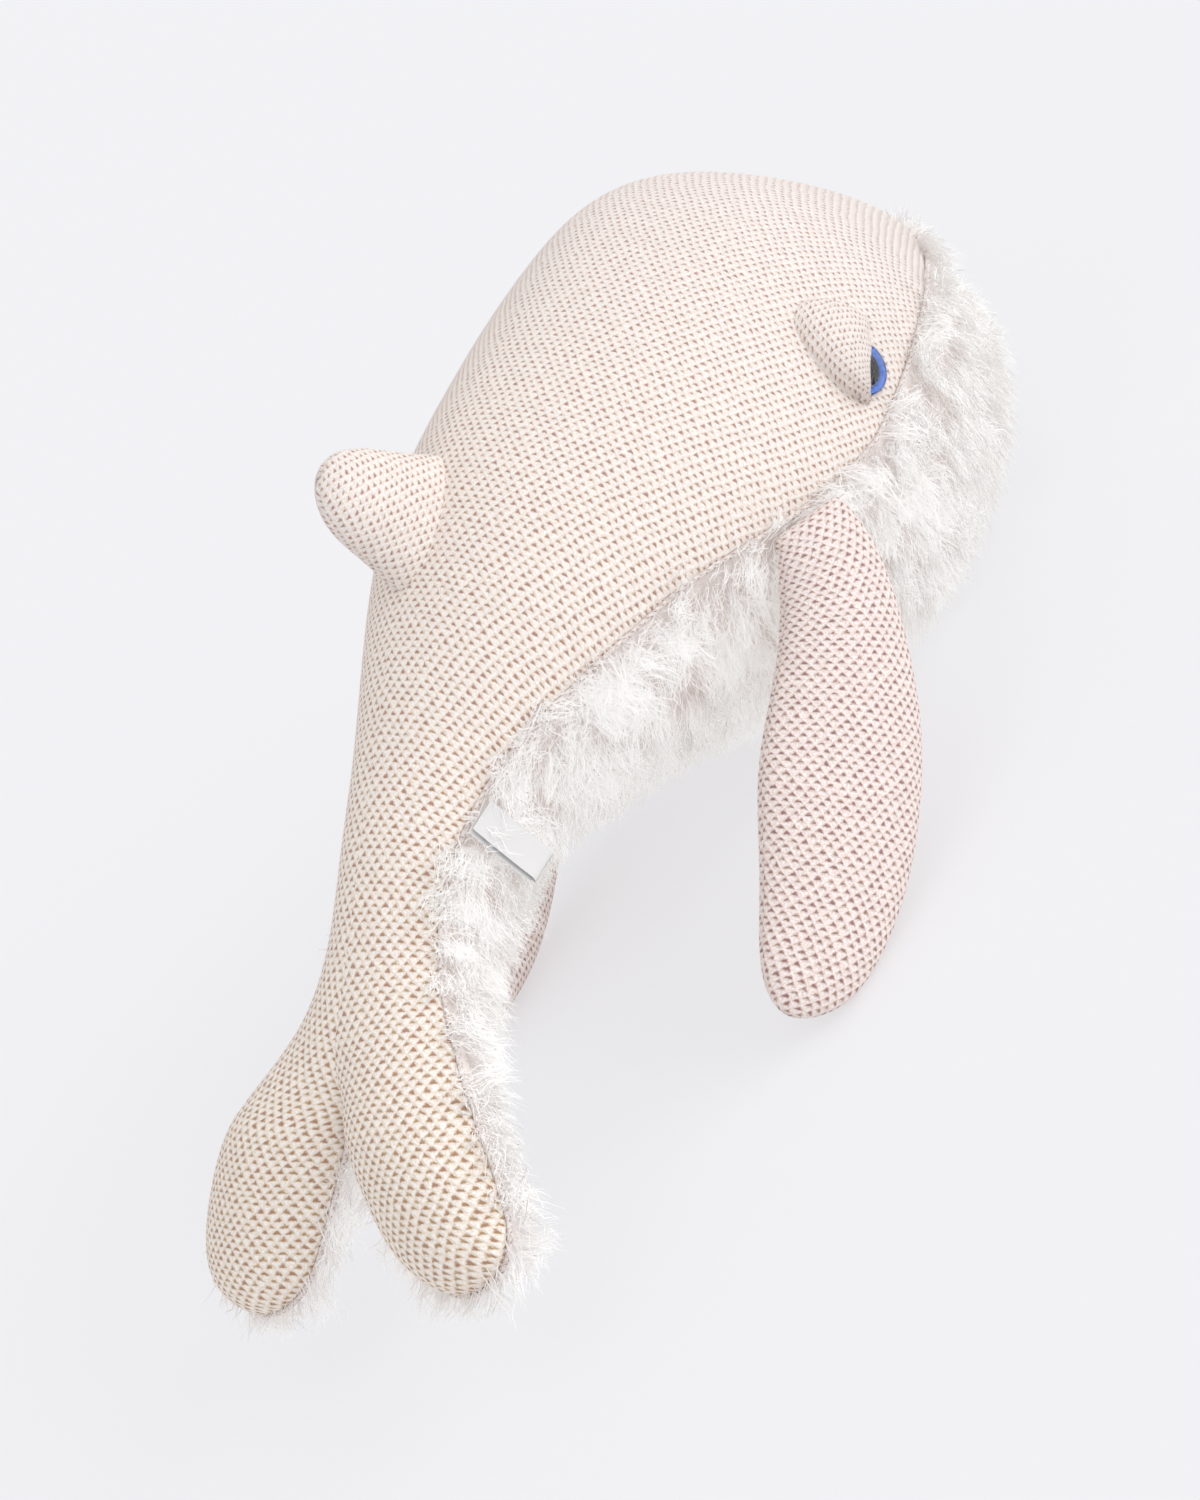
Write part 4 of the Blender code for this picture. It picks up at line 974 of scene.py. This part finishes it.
# The flippers take a copy of the same knit, painted a little darker and pinker: painted shade on the flippers.
flipper_knit = knit_material(
    "tuck_knit_cotton_shaded", ("#FEF6F4", "#FDF5F2"), ("#EEDAD5", "#EED9D1"),
    ("#96716E", "#926C64"), ("#9C7B6C", "#94765E"),
)
for piece in (knit_back, fin, *lids.values()):
    piece.data.materials.append(body_knit)
for piece in flippers.values():
    piece.data.materials.append(flipper_knit)
print("knit on", 4 + len(lids), "pieces")

# %% [markdown]
# ## Long pile
# The pile is fine white acrylic. Its roots are painted a little grey and pink: painted shade deep in the pile. Fine
# fibres pass light on to each other, so thick white fur never goes dark inside. A weak glow of its own colour stands
# for the light that goes from fibre to fibre.

# %% The fur's materials
def pile_material():
    material, tree, shader = new_material(
        "long_pile_fibre", Roughness=0.8, Specular_IOR_Level=0.1, Emission_Strength=0.46,
    )
    tone = add(tree, "ShaderNodeAttribute", {"attribute_name": "tone"}).outputs["Fac"]
    own = add(tree, "ShaderNodeAttribute", {"attribute_name": "lock"}).outputs["Fac"]
    light = mix_colour(tree, own, "#D3D5D4", "#C9CAC8")
    # Painted shade: each ribbon is painted darker and pinker at its root, deep in the pile.
    tree.links.new(mix_colour(tree, tone, "#C2BBB8", light), shader.inputs["Base Color"])
    tree.links.new(mix_colour(tree, tone, "#EAE5E3", "#F5F5F4"), shader.inputs["Emission Color"])
    return material


pile = pile_material()
for piece in fur.values():
    piece.data.materials.append(pile)
material, tree, shader = new_material("fur_backing_cloth", Roughness=1.0, Specular_IOR_Level=0.1)
cells = add(tree, "ShaderNodeUVMap", {"uv_map": "cells"}).outputs[0]
grain = add(tree, "ShaderNodeTexNoise", {"noise_dimensions": "2D"}, Vector=cells, Scale=1.0, Detail=2.0)
tree.links.new(mix_colour(tree, grain.outputs["Fac"], "#DCD0CB", "#F2EBE8"), shader.inputs["Base Color"])
fur_backing.data.materials.append(material)

# %% [markdown]
# ## Eyes and label
# The eye's colours are printed behind clear acrylic, which is glossy and bends light as glass does, with an index
# of refraction of 1.49. The label is a satin ribbon, white and a little shiny along its weave.

# %% Materials of the eyes and the label
def iris_material():
    material, tree, shader = new_material("blue_iris", Roughness=0.4, Specular_IOR_Level=0.2)
    cells = add(tree, "ShaderNodeUVMap", {"uv_map": "cells"}).outputs[0]
    parts = add(tree, "ShaderNodeSeparateXYZ", None, Vector=cells)
    streaks = add(tree, "ShaderNodeCombineXYZ", None, X=parts.outputs[0], Y=0.0, Z=0.0).outputs[0]
    fine = add(tree, "ShaderNodeTexNoise", None, Vector=streaks, Scale=60.0, Detail=3.0)
    near = ramp_value(tree, parts.outputs[1], 0.70, 0.88, 0.0, 1.0)
    colour = mix_colour(tree, near, "#3F6FD0", "#4F86E2")
    colour = mix_colour(tree, ramp_value(tree, fine.outputs["Fac"], 0.35, 0.65, 0.0, 0.6), colour, "#2C4FAE")
    rim = ramp_value(tree, parts.outputs[1], 0.90, 0.955, 0.0, 1.0)
    colour = mix_colour(tree, rim, colour, "#22317E")
    inner = ramp_value(tree, parts.outputs[1], 0.735, 0.69, 0.0, 0.95)
    colour = mix_colour(tree, inner, colour, "#0A0D1C")
    tree.links.new(colour, shader.inputs["Base Color"])
    return material


def pupil_material():
    material, tree, shader = new_material("black_pupil", Specular_IOR_Level=0.05)
    dust = add(tree, "ShaderNodeTexNoise", None, Scale=400.0, Detail=2.0)
    tree.links.new(ramp_value(tree, dust.outputs["Fac"], 0.3, 0.7, 0.40, 0.55), shader.inputs["Roughness"])
    tree.links.new(mix_colour(tree, dust.outputs["Fac"], "#040405", "#0A0A0C"), shader.inputs["Base Color"])
    return material


def dome_material():
    material, tree, shader = new_material(
        "clear_dome", Base_Color=linear("#FFFFFF"), IOR=1.49, Transmission_Weight=1.0, Alpha=0.12,
    )
    haze = add(tree, "ShaderNodeTexNoise", None, Scale=300.0, Detail=2.0)
    tree.links.new(ramp_value(tree, haze.outputs["Fac"], 0.3, 0.7, 0.01, 0.04), shader.inputs["Roughness"])
    return material


def ribbon_material():
    material, tree, shader = new_material("white_ribbon", Roughness=0.55, Sheen_Weight=0.2)
    cells = add(tree, "ShaderNodeUVMap", {"uv_map": "cells"}).outputs[0]
    weft = add(tree, "ShaderNodeTexWave", {"bands_direction": "Y"}, Vector=cells, Scale=0.31, Distortion=0.4)
    tree.links.new(mix_colour(tree, weft.outputs["Fac"], "#D0CFCE", "#DFDEDD"), shader.inputs["Base Color"])
    bump = add(tree, "ShaderNodeBump", None, Height=weft.outputs["Fac"], Distance=0.05 * MM, Strength=0.5)
    tree.links.new(bump.outputs[0], shader.inputs["Normal"])
    return material


for name, make in (("iris", iris_material), ("pupil", pupil_material), ("dome", dome_material)):
    made = make()
    for word in SIDES:
        eyes[f"{name}_{word}"].data.materials.append(made)
label.data.materials.append(ribbon_material())

# %% The washers behind the cloth
material, tree, shader = new_material("white_washer", Roughness=0.5)
mottle = add(tree, "ShaderNodeTexNoise", None, Scale=200.0)
tree.links.new(mix_colour(tree, mottle.outputs["Fac"], "#DEDEDC", "#ECECEA"), shader.inputs["Base Color"])
for word in SIDES:
    washer = frame["nodes"][f"eye_{word}_washer"]
    washer.data.materials.clear()
    washer.data.materials.append(material)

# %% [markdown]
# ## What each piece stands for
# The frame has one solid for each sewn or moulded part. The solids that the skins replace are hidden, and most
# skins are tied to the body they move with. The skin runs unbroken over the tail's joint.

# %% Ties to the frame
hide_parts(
    "back_panel_right", "back_panel_left", "tail_panel_right", "tail_panel_left",
    "fluke_panel_right", "fluke_panel_left", "body_stuffing", "tail_stuffing",
)
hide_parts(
    "belly_fur_panel", "tail_fur_panel_right", "tail_fur_panel_left",
    "fluke_fur_panel_right", "fluke_fur_panel_left",
)
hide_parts("fin_panel_right", "fin_panel_left", "fin_stuffing")
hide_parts("seam_label")
for word in SIDES:
    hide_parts(*(f"flipper_{word}_{part}" for part in ("outer", "inner", "stuffing")))
    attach(flippers[word], f"flipper_{word}")
    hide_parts(f"eyelid_{word}")
    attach(lids[word], "body")
    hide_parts(f"eye_{word}_iris")
    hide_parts(f"eye_{word}_pupil_shank")
    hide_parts(f"eye_{word}_dome")
    for name in ("iris", "pupil", "dome"):
        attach(eyes[f"{name}_{word}"], "body")
    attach(fur[f"belly_fur_{word}"], "body")
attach(fin, "body")
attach(label, "tail")
for piece in (knit_back, fur_backing, fur["tail_fur_right"], fur["tail_fur_left"]):
    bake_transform(piece)
